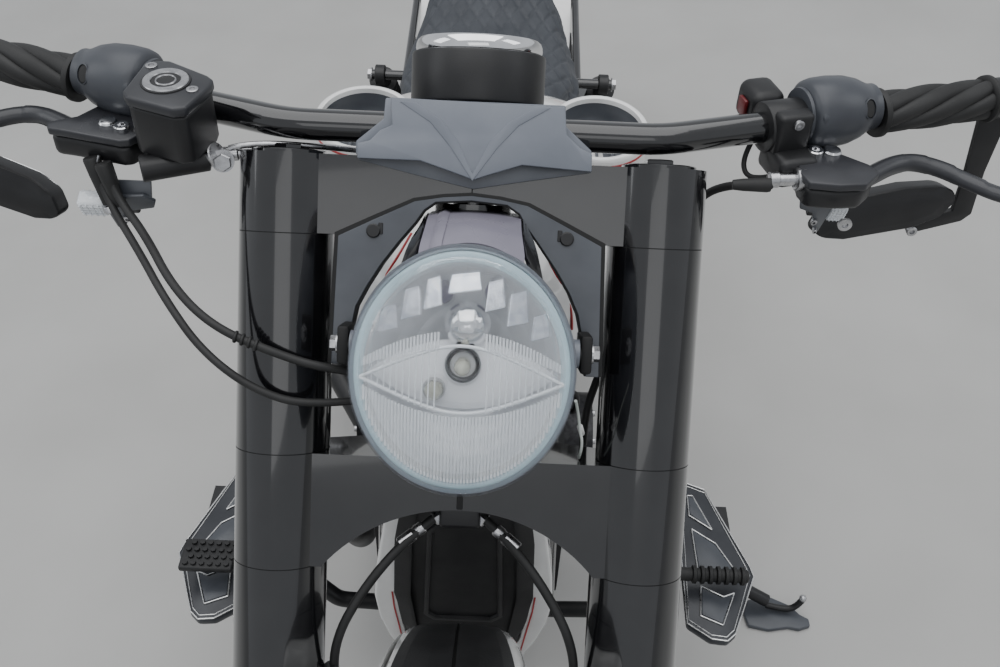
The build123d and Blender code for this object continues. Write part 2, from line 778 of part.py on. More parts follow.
rail_post = bar_between((pivot_plate_x, 1090, 480), (126, 1096, 606), 12)
shock_x = arm_inner_x + arm_width / 2
shock_top = (shock_x, wheelbase - 400, 602.0)
shock_stud = bar_between((120, shock_top[1], shock_top[2]), (shock_x + 14, shock_top[1], shock_top[2]), 8)
strut_x = rear_fender_half_width + 8.0
strut = bent_tube(
    [
        (strut_x, wheelbase - 396, 602),
        (strut_x, wheelbase - 220, 626),
        (strut_x, wheelbase - 40, 655),
        (strut_x, wheelbase + 120, 642),
    ],
    [150, 200],
    7,
)
bolt_y = wheelbase - 40
strut_bolt = bar_between((rear_fender_half_width + fit_gap, bolt_y, 652), (strut_x, bolt_y, 652), 9)
main_frame = head_tube + backbone
for piece in (cradle, rear_rail, pivot_plate, rail_post, shock_stud, strut, strut_bolt):
    main_frame = main_frame + piece
    main_frame = main_frame + mirror(piece, about=Plane.YZ)
# Each row: half length, distance back, height, radius
cross_tubes = [
    (130, 862, 640, 16),
    (126, 1100, 606, 12),
    (108, wheelbase - 274, 602, 12),
    (cradle_x, 700, cradle_height, 12),
    (cradle_x, 960, cradle_height, 12),
]
for half_length, cross_y, cross_z, cross_radius in cross_tubes:
    main_frame = main_frame + bar_between((-half_length, cross_y, cross_z), (half_length, cross_y, cross_z), cross_radius)
pan_length = seat_back + 10 - pan_front
seat_pan = Pos(0, pan_front + pan_length / 2, pan_top - pan_thickness / 2) * Box(190, pan_length, pan_thickness)
main_frame = main_frame + seat_pan
main_frame -= bar_between(stem_point(lower_clamp_bottom), stem_point(top_clamp_top + 20), stem_radius + running_gap)
main_frame -= disc_x(swing_tube_radius + fit_gap, 400, (0, pivot_y, pivot_height))

# Side stand, its hinge bracket on the left cradle, and the way it folds
stand_foot = Vector(stand_foot_reach, stand_foot_y, stand_foot_reach * tan(radians(lean_angle)))
stand_hinge = Vector(*stand_pivot)
leg_out = (stand_foot - stand_hinge).normalized()
leg_folded = Vector(*stand_fold_direction).normalized()
stand_axis = leg_out.cross(leg_folded).normalized()
stand_fold_angle = degrees(acos(leg_out.dot(leg_folded)))
stand_plane = Plane(origin=stand_pivot, x_dir=(0, 1, 0), z_dir=stand_axis)
ear_shift = stand_eye_height / 2 + 0.6 + stand_ear_thickness / 2
pin_length = stand_eye_height + 2 * stand_ear_thickness + 10
back_plate_x = stand_pivot[0] - stand_eye_radius - 8
stand_bracket = stand_plane * Cylinder(stand_pin_radius, pin_length)
for way in (-1, 1):
    stand_bracket += stand_plane * Pos(0, 0, way * ear_shift) * Cylinder(stand_eye_radius, stand_ear_thickness)
    ear_arm = Box(26, 24, stand_ear_thickness)
    stand_bracket += Pos(back_plate_x + 11, stand_pivot[1], stand_pivot[2] + way * ear_shift) * ear_arm
stand_bracket += Pos(back_plate_x, stand_pivot[1], stand_pivot[2] - 8) * Box(10, 44, 66)
bracket_root = (cradle_x, stand_pivot[1], cradle_height)
stand_bracket += bar_between(bracket_root, (back_plate_x, stand_pivot[1], cradle_height + 8), 13)
stand_clear = stand_plane * Cylinder(stand_eye_radius + 1.2, stand_eye_height + 1)
stand_bracket -= stand_clear - stand_plane * Cylinder(stand_pin_radius, stand_eye_height + 4)
main_frame = main_frame + stand_bracket
upright("main_frame", main_frame)

side_stand = stand_plane * Cylinder(stand_eye_radius, stand_eye_height)
leg_start = stand_hinge + leg_out * 6
leg_end = stand_foot - leg_out * 12 + Vector(0, 0, 10)
side_stand += bar_between(tuple(leg_start), tuple(leg_end), stand_leg_radius)
foot_pad = Box(58, 36, 8, align=from_base)
side_stand += Pos(*stand_foot) * Rot(0, -lean_angle, 0) * Pos(-8, 0, 0) * foot_pad
tang_start = leg_start + leg_out * 292
side_stand += bar_between(tuple(tang_start), tuple(tang_start + Vector(14, -40, 22)), 6)
side_stand -= stand_plane * Cylinder(stand_pin_radius + running_gap, 60)
upright("side_stand", side_stand)

# Engine
crankcase = Pos(0, case_middle_y, case_middle_height) * Box(case_width, case_length, case_height)
crankcase = fillet(crankcase.edges().filter_by(Axis.X), 46)
case_bottom = case_middle_height - case_height / 2
mount_bottom = cradle_height + 12 + fit_gap
for mount_y in (700, 960):
    mount_height = case_bottom + 4 - mount_bottom
    crankcase += Pos(0, mount_y, mount_bottom + mount_height / 2) * Box(150, 26, mount_height)
output_end = (case_width / 2 - 30, front_pulley_y, front_pulley_height)
output_housing = Pos(0, 1000, front_pulley_height) * Box(200, 90, 90)
crankcase += output_housing
crankcase += bar_between(output_end, (pulley_x, front_pulley_y, front_pulley_height), 15)
crankcase += disc_x(front_pulley_radius, pulley_width, (pulley_x, front_pulley_y, front_pulley_height))
crankcase -= disc_x(swing_tube_radius + 6, 400, (0, pivot_y, pivot_height))
crankcase -= parts["main_frame"]
upright("crankcase", crankcase)


def cylinder_stack(lean, start, end, across, along):
    """A block of one cylinder, leaning from upright, between two distances from the crank."""
    block = Pos(0, 0, (start + end) / 2) * Box(across, along, end - start)
    return Pos(0, crank_y, crank_height) * Rot(-lean, 0, 0) * block


barrels = cylinder_stack(-vee_half_angle, 96, barrel_top, 160, 112)
barrels += cylinder_stack(vee_half_angle, 96, barrel_top, 160, 112)
for fin in range(5):
    fin_start = 140 + 19 * fin
    for lean in (-vee_half_angle, vee_half_angle):
        barrels += cylinder_stack(lean, fin_start, fin_start + 7, 188, 134)
case_clear_size = (case_width + 2 * fit_gap, case_length + 2 * fit_gap, case_height + 2 * fit_gap)
case_clear = Pos(0, case_middle_y, case_middle_height) * Box(*case_clear_size)
for lean in (-vee_half_angle, vee_half_angle):
    head_block = cylinder_stack(lean, barrel_top - 1, head_top, 176, 140)
    barrels += fillet(head_block.edges().filter_by(Axis.X), 14)
upright("cylinders", barrels - case_clear)
case_side = case_width / 2 + fit_gap
left_cover = disc_x(78, 42, (case_side + 21, 780, 300))
right_cover = disc_x(92, 46, (-case_side - 23, 850, 300))
upright("engine_covers", left_cover + right_cover)


def loop_plate(front_radius, rear_radius, width):
    """The space inside a belt line round both pulleys, across a given width."""
    rise = rear_axle_height - front_pulley_height
    run = wheelbase - front_pulley_y
    slope = atan2(rise, run)
    spread = asin((rear_radius - front_radius) / sqrt(run * run + rise * rise))
    upper_turn = slope + radians(90) + spread
    lower_turn = slope - radians(90) - spread
    corners = []
    for centre_y, centre_z, radius, turn in (
        (front_pulley_y, front_pulley_height, front_radius, upper_turn),
        (wheelbase, rear_axle_height, rear_radius, upper_turn),
        (wheelbase, rear_axle_height, rear_radius, lower_turn),
        (front_pulley_y, front_pulley_height, front_radius, lower_turn),
    ):
        corners.append((centre_y + radius * cos(turn), centre_z + radius * sin(turn)))
    sides = Plane.YZ * Polygon(*corners, align=None)
    plate = Pos(pulley_x - width / 2, 0, 0) * extrude(sides, width, dir=(1, 0, 0))
    plate += disc_x(front_radius, width, (pulley_x, front_pulley_y, front_pulley_height))
    plate += disc_x(rear_radius, width, (pulley_x, wheelbase, rear_axle_height))
    return plate


belt_in_front = front_pulley_radius + fit_gap
belt_in_rear = rear_pulley_radius + running_gap
belt = loop_plate(belt_in_front + belt_thickness, belt_in_rear + belt_thickness, belt_width)
belt -= loop_plate(belt_in_front, belt_in_rear, belt_width + 4)
upright("drive_belt", belt)

# Swingarm with the rear axle, and the shocks
arm_centre_x = arm_inner_x + arm_width / 2
arm_run = Vector(0, wheelbase - pivot_y, rear_axle_height - pivot_height)
arm_slope = degrees(atan2(arm_run.Z, arm_run.Y))
arm_middle = Pos(arm_centre_x, (wheelbase + pivot_y) / 2, (rear_axle_height + pivot_height) / 2)
swing_arm = arm_middle * Rot(arm_slope, 0, 0) * Box(arm_width, arm_run.length + 70, arm_height)
shock_low = (shock_x, wheelbase - 170, 392.0)
shock_ear_thickness = 6.0
for ear_x in (arm_inner_x + shock_ear_thickness / 2, arm_inner_x + arm_width - shock_ear_thickness / 2):
    ear_block = Pos(ear_x, shock_low[1], shock_low[2] - 22) * Box(shock_ear_thickness, 36, 60)
    swing_arm += ear_block
swing_arm += disc_x(7, arm_width, shock_low)
spacer_length = arm_inner_x - rear_hub_width / 2
spacer = disc_x(18, spacer_length, (rear_hub_width / 2 + 0.5 + spacer_length / 2, wheelbase, rear_axle_height))
axle_nut = disc_x(19, 12, (arm_inner_x + arm_width + 5, wheelbase, rear_axle_height))
swingarm = disc_x(swing_tube_radius, 2 * (arm_inner_x + arm_width), (0, pivot_y, pivot_height))
for piece in (swing_arm, spacer, axle_nut):
    swingarm = swingarm + piece
    swingarm = swingarm + mirror(piece, about=Plane.YZ)
swingarm = swingarm + disc_x(axle_radius, 2 * (arm_inner_x + arm_width) + 24, rear_centre)
upright("swingarm", swingarm)

shock_line = Vector(*shock_top) - Vector(*shock_low)
shock_way = shock_line.normalized()
spring_low = Vector(*shock_low) + shock_way * 42
spring_high = Vector(*shock_top) - shock_way * 36
eye_width = arm_width - 2 * shock_ear_thickness - 1
shock = bar_between(shock_low, shock_top, 8)
shock += bar_between(tuple(spring_low), tuple(spring_high), 23)
shock += disc_x(16, eye_width, shock_low) + disc_x(16, eye_width, shock_top)
shock -= disc_x(7 + fit_gap, 60, shock_low) + disc_x(8 + fit_gap, 60, shock_top)
upright("rear_shocks", both_sides(shock))

# Radiator with its black cover, and the white side covers
radiator_middle = (radiator_bottom + radiator_top) / 2
radiator_height = radiator_top - radiator_bottom
radiator_back_y = radiator_front_y + 4 + radiator_depth
radiator = Pos(0, radiator_back_y - radiator_depth / 2, radiator_middle)
radiator = radiator * Box(2 * radiator_half_width, radiator_depth, radiator_height)
cover_outline = Polygon(
    (-62, radiator_top), (62, radiator_top), (80, 440), (62, radiator_bottom), (-62, radiator_bottom), (-80, 440),
    align=None,
)
cover_front = radiator_front_y - cover_depth
radiator += cut_along_back(cover_outline, cover_front, radiator_front_y + 5)
recess_outline = Polygon((-40, 560), (40, 560), (46, 400), (-46, 400), align=None)
radiator -= cut_along_back(recess_outline, cover_front - 1, cover_front + 7)
for mount_z in (600, 400):
    mount_bar = bar_between((74, radiator_back_y - 4, mount_z), (84, radiator_back_y + 22, mount_z), 7)
    radiator += both_sides(mount_bar)
upright("radiator", radiator - parts["main_frame"])
side_outline = Polygon(
    (64, 668), (84, 672), (104, 560), (106, 430), (70, 318), (64, radiator_bottom - 2), (82, 440),
    align=None,
)
side_cover = cut_along_back(side_outline, cover_front - 8, radiator_front_y + 4 - fit_gap)
side_wall = Polygon((93, 600), (104, 560), (106, 430), (93, 385), align=None)
side_cover += cut_along_back(side_wall, radiator_front_y - 2, radiator_front_y + 40)
upright("radiator_side_covers", both_sides(side_cover))

# Tank cover with its two air scoops
# Each row: distance back, half width at the widest, half width of the top, bottom, widest height, top
tank_rows = [
    (472, 66, 44, 712, 770, 828),
    (560, 146, 96, 690, 770, 856),
    (700, 178, 118, 672, 770, 884),
    (770, 178, 112, 668, 764, 880),
    (880, 160, 92, 664, 740, 822),
    (1010, 112, 62, 664, 700, 746),
]


def tank_section(y, half_width, top_half, bottom, widest, top):
    """One cross-section of the tank cover."""
    half = [
        (0, bottom),
        (half_width * 0.72, bottom),
        (half_width, widest - 30),
        (half_width, widest + 22),
        (top_half, top - 6),
        (0, top),
    ]
    other = [(-x, z) for x, z in reversed(half[1:-1])]
    outline = Polygon(*(half + other), align=None)
    return Plane(origin=(0, y, 0), x_dir=(1, 0, 0), z_dir=(0, -1, 0)) * outline


tank = loft([tank_section(*row) for row in tank_rows], ruled=True)
for side in (-1, 1):
    scoop_place = Pos(side * scoop_centre[0], scoop_centre[1], scoop_centre[2]) * Rot(scoop_tilt, 0, 0)
    scoop_depth = 70
    tank += scoop_place * Pos(0, 0, -scoop_depth / 2) * Cylinder(scoop_radius, scoop_depth)
for side in (-1, 1):
    scoop_place = Pos(side * scoop_centre[0], scoop_centre[1], scoop_centre[2]) * Rot(scoop_tilt, 0, 0)
    tank -= scoop_place * Cylinder(scoop_radius - scoop_rim, 2 * scoop_dish)
tunnel_half_width = backbone_radius + fit_gap
tunnel = Plane.YZ * Polygon((440, 600), (440, 900), (600, 800), (900, 672), (900, 600), align=None)
tank -= Pos(-tunnel_half_width, 0, 0) * extrude(tunnel, 2 * tunnel_half_width, dir=(1, 0, 0))
tank -= both_sides(bent_tube(cradle_points, cradle_bends, cradle_tube_radius + 3))
upright("tank_cover", tank)

# Seat, rear fender and pillion pad
# Each row: share of the way back, half width, top
seat_bottom = pan_top + seat_gap
seat_rows = [(0.0, 104, 730), (0.34, 147, 706), (0.68, 132, 706), (1.0, 112, 742)]


def seat_section(share, half_width, top):
    """One cross-section of the seat."""
    y = seat_front + share * (seat_back - seat_front)
    height = top - seat_bottom
    outline = Pos(0, seat_bottom + height / 2) * RectangleRounded(2 * half_width, height, height * 0.36)
    return Plane(origin=(0, y, 0), x_dir=(1, 0, 0), z_dir=(0, -1, 0)) * outline


upright("seat", loft([seat_section(*row) for row in seat_rows]))

fender_inner_half = rear_fender_half_width - rear_fender_wall
rear_fender = disc_x(rear_fender_radius, 2 * rear_fender_half_width, rear_centre)
rear_fender -= disc_x(rear_fender_radius - rear_fender_wall, 2 * fender_inner_half, rear_centre)
rear_fender -= disc_x(rear_fender_radius - rear_fender_skirt, 400, rear_centre)
rear_fender &= wedge(rear_centre, 700, 400, rear_fender_start, rear_fender_end)
upright("rear_fender", rear_fender)
pad_ring = disc_x(rear_fender_radius + pad_thickness, 190, rear_centre)
pad_ring -= disc_x(rear_fender_radius + seat_gap, 200, rear_centre)
pad_ring &= wedge(rear_centre, 700, 400, 62, 100)
upright("pillion_pad", pad_ring)


def on_rear_fender(angle, out):
    """A point in the middle plane, at an angle round the rear axle and a distance out of the fender."""
    turn = radians(angle)
    reach = rear_fender_radius + out
    return (0, wheelbase - reach * cos(turn), rear_axle_height + reach * sin(turn))


fender_clear = disc_x(rear_fender_radius + fit_gap, 300, rear_centre)
tail_angle = 140.0
rear_lamps = Pos(*on_rear_fender(tail_angle, 10)) * Rot(90 - tail_angle, 0, 0) * Box(110, 50, 22)
rear_lamps -= fender_clear
rod_y = wheelbase + 90
indicator_rod = bar_between((strut_x + 7 + fit_gap, rod_y, 644), (strut_x + 60, rod_y + 10, 640), 6)
indicator_rod += Pos(strut_x + 80, rod_y + 12, 640) * Box(56, 34, 26)
rear_lamps += both_sides(indicator_rod)
upright("rear_lamps", rear_lamps - parts["main_frame"])
plate_place = Pos(0, wheelbase + rear_fender_radius + 10, rear_axle_height + 70)
plate_holder = plate_place * Rot(-18, 0, 0) * Box(180, 4, 130)
plate_rod_end = (0, wheelbase + rear_fender_radius + 16, rear_axle_height + 88.7)
plate_holder += bar_between(on_rear_fender(rear_fender_end - 4, -8), plate_rod_end, 9)
upright("plate_holder", plate_holder - fender_clear)

# Exhaust, on the rider's right
front_pipe = bent_tube(
    [
        (-50, 606, 506),
        (-72, 570, 480),
        (-158, 600, 410),
        (-164, 640, 270),
        (-164, 710, 152),
        (-164, 900, 150),
        (muffler_x, 1030, 215),
        (muffler_x, 1099.8, 222),
    ],
    [18, 60, 80, 70, 120, 60],
    pipe_radius,
)
rear_pipe = bent_tube(
    [(-70, 955, 545), (-150, 980, 530), (-214, 1050, 440), (muffler_x, 1150, 338.5), (muffler_x, 1229.8, 346)],
    [44, 60, 50],
    pipe_radius,
)
upright("exhaust_headers", front_pipe + rear_pipe - parts["cylinders"])
mufflers = bar_between(lower_muffler_start, lower_muffler_end, muffler_radius)
mufflers += bar_between(upper_muffler_start, upper_muffler_end, muffler_radius)
for finish in (lower_muffler_end, upper_muffler_end):
    mouth_start = (finish[0], finish[1] - 60, finish[2] - 6)
    mouth_end = (finish[0], finish[1] + 10, finish[2] + 1)
    mufflers -= bar_between(mouth_start, mouth_end, muffler_radius - 8)
hanger_foot = (-pivot_plate_x - pivot_plate_width / 2 - fit_gap, 1110, 470)
hanger = bent_tube([hanger_foot, (-205, 1110, 470), (-240, 1300, 395)], [30], 7)
mufflers += hanger + bar_between((-240, 1300, 392), (-240, 1300, 240), 7)
upright("mufflers", mufflers)

# Footboards, their arms and the foot controls
board_outline = Polygon((280, 560), (276, 468), (304, 437), (334, 444), (370, 545), (332, 684), (294, 694), align=None)
board = Pos(0, 0, board_top - board_thickness) * extrude(board_outline, board_thickness, dir=(0, 0, 1))
upright("footboards", both_sides(board))
arm_top = board_top - board_thickness - fit_gap
foot_arm = bent_tube([(100, 566, 196), (176, 560, 210), (262, 575, 300), (322, 575, 322)], [30, 20], 11)
foot_arm += Pos(318, 575, arm_top - 6) * Box(60, 150, 12)
foot_arm += bar_between((262, 575, 300), (control_pivot[0], control_pivot[1] - 6, control_pivot[2]), 8)
foot_arm += disc_x(8, 26, control_pivot)
upright("footboard_arms", both_sides(foot_arm) - parts["main_frame"])
pedal_x = control_pivot[0]
foot_control = disc_x(14, 14, control_pivot)
foot_control += bar_between(control_pivot, (pedal_x, 540, 368), 7)
foot_control -= disc_x(8 + fit_gap, 40, control_pivot)
shift_lever = foot_control + bar_between((pedal_x, 545, 366), (pedal_x, 512, 374), 7)
shift_lever += bar_between((pedal_x - 6, 516, 374), (354, 502, 374), 10)
brake_pedal = mirror(foot_control, about=Plane.YZ)
brake_pedal += bar_between((-pedal_x, 545, 366), (-300, 508, 376), 7)
brake_pedal += Pos(-312, 505, 382) * Rot(0, 0, 8) * Box(64, 44, 8)
upright("foot_controls", (shift_lever + brake_pedal) - parts["footboard_arms"])

# Lean and place: the origin is under the middle of the whole machine, on the floor
leaning = Rot(0, lean_angle, 0)
placed = {name: leaning * shape for name, shape in parts.items()}
boxes = [shape.bounding_box() for shape in placed.values()]
low_x = min(box.min.X for box in boxes)
high_x = max(box.max.X for box in boxes)
low_y = min(box.min.Y for box in boxes)
high_y = max(box.max.Y for box in boxes)
low_z = min(box.min.Z for box in boxes)
to_origin = Pos(-(low_x + high_x) / 2, -(low_y + high_y) / 2, -low_z)

os.makedirs("parts", exist_ok=True)
for name, shape in placed.items():
    export_step(to_origin * shape, "parts/" + name + ".step")
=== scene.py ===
import bmesh
import bpy
from math import cos, pi, radians, sin, sqrt
from mathutils import Matrix, Vector


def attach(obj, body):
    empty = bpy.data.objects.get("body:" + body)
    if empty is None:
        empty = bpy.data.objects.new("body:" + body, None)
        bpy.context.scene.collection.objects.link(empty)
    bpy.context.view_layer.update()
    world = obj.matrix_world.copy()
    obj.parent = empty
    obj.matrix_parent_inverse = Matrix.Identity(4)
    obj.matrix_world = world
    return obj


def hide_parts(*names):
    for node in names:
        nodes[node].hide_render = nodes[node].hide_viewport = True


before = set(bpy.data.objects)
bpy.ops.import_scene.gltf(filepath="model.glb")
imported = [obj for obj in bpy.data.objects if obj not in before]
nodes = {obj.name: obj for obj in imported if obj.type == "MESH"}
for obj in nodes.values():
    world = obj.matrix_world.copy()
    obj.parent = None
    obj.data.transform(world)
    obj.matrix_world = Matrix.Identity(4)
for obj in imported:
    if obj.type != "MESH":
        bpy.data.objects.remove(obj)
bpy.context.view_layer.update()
bpy.ops.object.select_all(action="DESELECT")


def spun(angle, axis):
    """A turn by an angle in degrees."""
    return Matrix.Rotation(radians(angle), 4, axis)


# The machine leans to its left on its stand; the fork is raked back from the front axle
LEAN = 6.0
FORK_ANGLE = 36.5
AXLE_HEIGHT = 0.35103
MIDDLE = Vector((-0.0968594, -0.871644, 0.0))
MACHINE = Matrix.Translation(MIDDLE) @ spun(LEAN, "Y")
FORK = MACHINE @ Matrix.Translation((0, 0, AXLE_HEIGHT)) @ spun(-FORK_ANGLE, "X")

# Camera, floor and light
CAMERA_PLACE = (0.0780406, -1.1015441, 1.45167)
CAMERA_TURN = (radians(47.049), radians(3.986), radians(1.462))
camera_data = bpy.data.cameras.new("camera")
camera_data.lens = 37.34
camera_data.sensor_width = 36.0
camera_data.clip_end = 60.0
camera = bpy.data.objects.new("camera", camera_data)
bpy.context.scene.collection.objects.link(camera)
camera.location = CAMERA_PLACE
camera.rotation_euler = CAMERA_TURN
bpy.context.scene.camera = camera


def soft_light(name, place, target, width, height, power, tint=(1, 1, 1)):
    """A soft box that hangs at a place and faces a target."""
    data = bpy.data.lights.new(name, "AREA")
    data.shape = "RECTANGLE"
    data.size = width
    data.size_y = height
    data.energy = power
    data.color = tint
    light = bpy.data.objects.new(name, data)
    bpy.context.scene.collection.objects.link(light)
    light.location = place
    light.rotation_euler = (Vector(target) - Vector(place)).to_track_quat("-Z", "Y").to_euler()


soft_light("sky", (0.0, -0.2, 4.2), (0, 0, 0.5), 4.5, 4.5, 120)
soft_light("left_panel", (3.4, -0.6, 3.0), (0, -0.4, 0.8), 1.6, 2.0, 16, (0.96, 0.98, 1.0))
soft_light("right_panel", (-3.4, -0.6, 3.0), (0, -0.4, 0.8), 1.6, 2.0, 16, (0.96, 0.98, 1.0))
soft_light("front_panel", (0.2, -4.6, 3.4), (0, -0.9, 0.9), 3.2, 1.6, 14)
world = bpy.data.worlds.new("studio")
world.use_nodes = True
world.node_tree.nodes["Background"].inputs["Color"].default_value = (0.80, 0.83, 0.87, 1)
world.node_tree.nodes["Background"].inputs["Strength"].default_value = 0.75
bpy.context.scene.world = world


# Finishes
def finish(name, colour, roughness, metallic=0.0, more=()):
    """A material with its shader set to plain values; more inputs come as pairs."""
    material = bpy.data.materials.new(name)
    material.use_nodes = True
    shader = material.node_tree.nodes["Principled BSDF"]
    shader.inputs["Base Color"].default_value = (*colour, 1)
    shader.inputs["Roughness"].default_value = roughness
    shader.inputs["Metallic"].default_value = metallic
    for key, value in more:
        shader.inputs[key].default_value = value
    return material


def shader_of(material):
    return material.node_tree.nodes["Principled BSDF"]


def noise(material, scale, detail):
    """Cloudy grain on the object's own coordinates; gives its output from 0 to 1."""
    tree = material.node_tree
    place = tree.nodes.new("ShaderNodeTexCoord")
    grain = tree.nodes.new("ShaderNodeTexNoise")
    grain.inputs["Scale"].default_value = scale
    grain.inputs["Detail"].default_value = detail
    tree.links.new(place.outputs["Object"], grain.inputs["Vector"])
    return grain.outputs["Fac"]


def rough_between(material, value, low, high):
    """Roughness that follows a grain between two values."""
    tree = material.node_tree
    ranged = tree.nodes.new("ShaderNodeMapRange")
    for key, number in (("From Min", 0.3), ("From Max", 0.7), ("To Min", low), ("To Max", high)):
        ranged.inputs[key].default_value = number
    tree.links.new(value, ranged.inputs["Value"])
    tree.links.new(ranged.outputs["Result"], shader_of(material).inputs["Roughness"])


def blend_colours(material, value, low, high, start=0.35, end=0.65):
    """Two colours blended by a grain, on the shader's colour."""
    tree = material.node_tree
    ramp = tree.nodes.new("ShaderNodeValToRGB")
    ramp.color_ramp.elements[0].position = start
    ramp.color_ramp.elements[0].color = (*low, 1)
    ramp.color_ramp.elements[1].position = end
    ramp.color_ramp.elements[1].color = (*high, 1)
    tree.links.new(value, ramp.inputs["Fac"])
    tree.links.new(ramp.outputs["Color"], shader_of(material).inputs["Base Color"])


def relief(material, value, depth, strength):
    """Height from a grain, in metres."""
    tree = material.node_tree
    bump = tree.nodes.new("ShaderNodeBump")
    bump.inputs["Strength"].default_value = strength
    bump.inputs["Distance"].default_value = depth
    tree.links.new(value, bump.inputs["Height"])
    tree.links.new(bump.outputs["Normal"], shader_of(material).inputs["Normal"])


def painted(name, low, high, roughness, dust=0.12):
    """Sprayed and lacquered paint, with faint dust and orange peel."""
    material = finish(name, low, roughness)
    shader_of(material).inputs["Coat Weight"].default_value = 1.0
    shader_of(material).inputs["Coat Roughness"].default_value = 0.04
    blend_colours(material, noise(material, 38.0, 8.0), low, high, 0.4, 0.8)
    rough_between(material, noise(material, 9.0, 6.0), roughness, roughness + dust)
    relief(material, noise(material, 420.0, 2.0), 0.00002, 0.5)
    return material


def powder_coat(name, low, high, roughness, grain=900.0, depth=0.00012):
    """Baked-on coating with a fine tooth."""
    material = finish(name, low, roughness)
    blend_colours(material, noise(material, 26.0, 8.0), low, high)
    rough_between(material, noise(material, 14.0, 6.0), roughness - 0.06, roughness + 0.08)
    relief(material, noise(material, grain, 3.0), depth, 0.5)
    return material


def bare_metal(name, low, high, roughness, grain=160.0):
    """Turned or plated metal with a faint cloudy grain."""
    material = finish(name, low, roughness, 1.0)
    blend_colours(material, noise(material, grain, 8.0), low, high)
    rough_between(material, noise(material, grain * 1.4, 6.0), roughness - 0.06, roughness + 0.1)
    relief(material, noise(material, grain * 3, 4.0), 0.00003, 0.4)
    return material


gloss_black = painted("gloss_black_paint", (0.004, 0.004, 0.005), (0.008, 0.008, 0.009), 0.10)
anthracite = powder_coat("anthracite_satin", (0.150, 0.165, 0.195), (0.175, 0.190, 0.220), 0.34,
    1400.0, 0.00005)
satin_black = powder_coat("satin_black_coat", (0.007, 0.007, 0.008), (0.013, 0.013, 0.014), 0.40)
cast_black = powder_coat("cast_black_coat", (0.008, 0.008, 0.009), (0.016, 0.016, 0.017), 0.52,
    520.0, 0.0003)
# Purplish grey: painted sky reflection on gloss black, for the neck's crown and the bowl's lobes
sheen_grey = powder_coat("painted_sheen_grey", (0.200, 0.190, 0.235), (0.235, 0.222, 0.270), 0.30,
    1400.0, 0.00003)
white_paint = painted("white_paint", (0.78, 0.78, 0.77), (0.84, 0.84, 0.83), 0.16, 0.1)
alloy = bare_metal("bright_alloy", (0.60, 0.60, 0.60), (0.74, 0.74, 0.73), 0.26)
dark_steel = bare_metal("dark_steel", (0.030, 0.030, 0.032), (0.055, 0.055, 0.058), 0.34)
steel = bare_metal("turned_steel", (0.42, 0.42, 0.43), (0.56, 0.56, 0.57), 0.28)
rubber = powder_coat("black_rubber", (0.010, 0.010, 0.010), (0.018, 0.018, 0.018), 0.58, 700.0,
    0.0001)
tyre_rubber = powder_coat("tyre_rubber", (0.014, 0.014, 0.014), (0.026, 0.025, 0.024), 0.72, 380.0,
    0.0003)
seat_leather = powder_coat("seat_leather", (0.030, 0.034, 0.042), (0.044, 0.049, 0.058), 0.50,
    380.0, 0.0003)
lens_glass = finish("clear_lens", (0.9, 0.95, 1.0), 0.03, 0,
    (("Transmission Weight", 1), ("Alpha", 0.22)))
mirror_metal = bare_metal("reflector_silver", (0.82, 0.83, 0.85), (0.90, 0.91, 0.92), 0.08)
bowl_silver = bare_metal("bowl_silver", (0.93, 0.94, 0.96), (0.98, 0.98, 0.99), 0.12)
shader_of(bowl_silver).inputs["Metallic"].default_value = 0.25
# Near-white matte: painted reflection of the bright sky inside the headlight, not a part's own
# colour
painted_glare_white = finish("painted_glare_white", (0.95, 0.96, 0.98), 0.3)
# Dark grey, lighter than satin black: painted sheen on the satin black switch housings
drum_painted_sheen = powder_coat("drum_painted_sheen", (0.040, 0.043, 0.052), (0.055, 0.060, 0.070), 0.36, 1100.0,
    0.00005)
red_lens = finish("red_lens", (0.45, 0.01, 0.01), 0.10)
chrome = bare_metal("chrome_plate", (0.78, 0.78, 0.79), (0.88, 0.88, 0.89), 0.06, 60.0)
dial_black = powder_coat("dial_black", (0.004, 0.004, 0.005), (0.009, 0.009, 0.010), 0.5, 600.0,
    0.00005)
white_print = powder_coat("white_print", (0.70, 0.70, 0.68), (0.78, 0.78, 0.76), 0.5, 900.0,
    0.00002)
clear_glass = finish("clear_glass", (0.96, 0.98, 1.0), 0.02, 0,
    (("Transmission Weight", 1), ("IOR", 1.45)))
blue_rim = finish("blue_glass_rim", (0.55, 0.74, 0.82), 0.12, 0, (("Transmission Weight", 0.35),))
bulb_glass = finish("bulb_glass", (0.92, 0.92, 0.80), 0.04, 0, (("Transmission Weight", 0.6),))
flute_glass = finish("fluted_glass", (0.94, 0.97, 1.0), 0.06, 0, (("Transmission Weight", 0.25),))
pane_silver = bare_metal("pane_silver", (0.70, 0.73, 0.80), (0.88, 0.90, 0.94), 0.10)
slate = powder_coat("slate_satin", (0.060, 0.066, 0.078), (0.080, 0.087, 0.100), 0.34, 1400.0,
    0.00005)
# Dark grey, lighter than satin black: painted sheen on the satin black footboards
board_painted_sheen = powder_coat("board_painted_sheen", (0.030, 0.032, 0.038), (0.045, 0.048, 0.055), 0.36, 700.0,
    0.00006)
perch_satin = powder_coat("perch_satin", (0.022, 0.023, 0.027), (0.034, 0.035, 0.040), 0.32, 1100.0,
    0.00006)
white_wire = powder_coat("white_wire", (0.55, 0.60, 0.56), (0.66, 0.70, 0.66), 0.4, 900.0, 0.00002)
# Near-black for dark joints and grooves, and painted shadow along the headlight bracket's edges
# under the top clamp
seam_and_shadow_black = finish("seam_and_shadow_black", (0.002, 0.002, 0.002), 0.6)
button_red = powder_coat("button_red", (0.10, 0.008, 0.010), (0.14, 0.012, 0.014), 0.35, 900.0,
    0.00002)
red_print = powder_coat("red_print", (0.36, 0.012, 0.016), (0.46, 0.020, 0.024), 0.3, 900.0,
    0.00002)

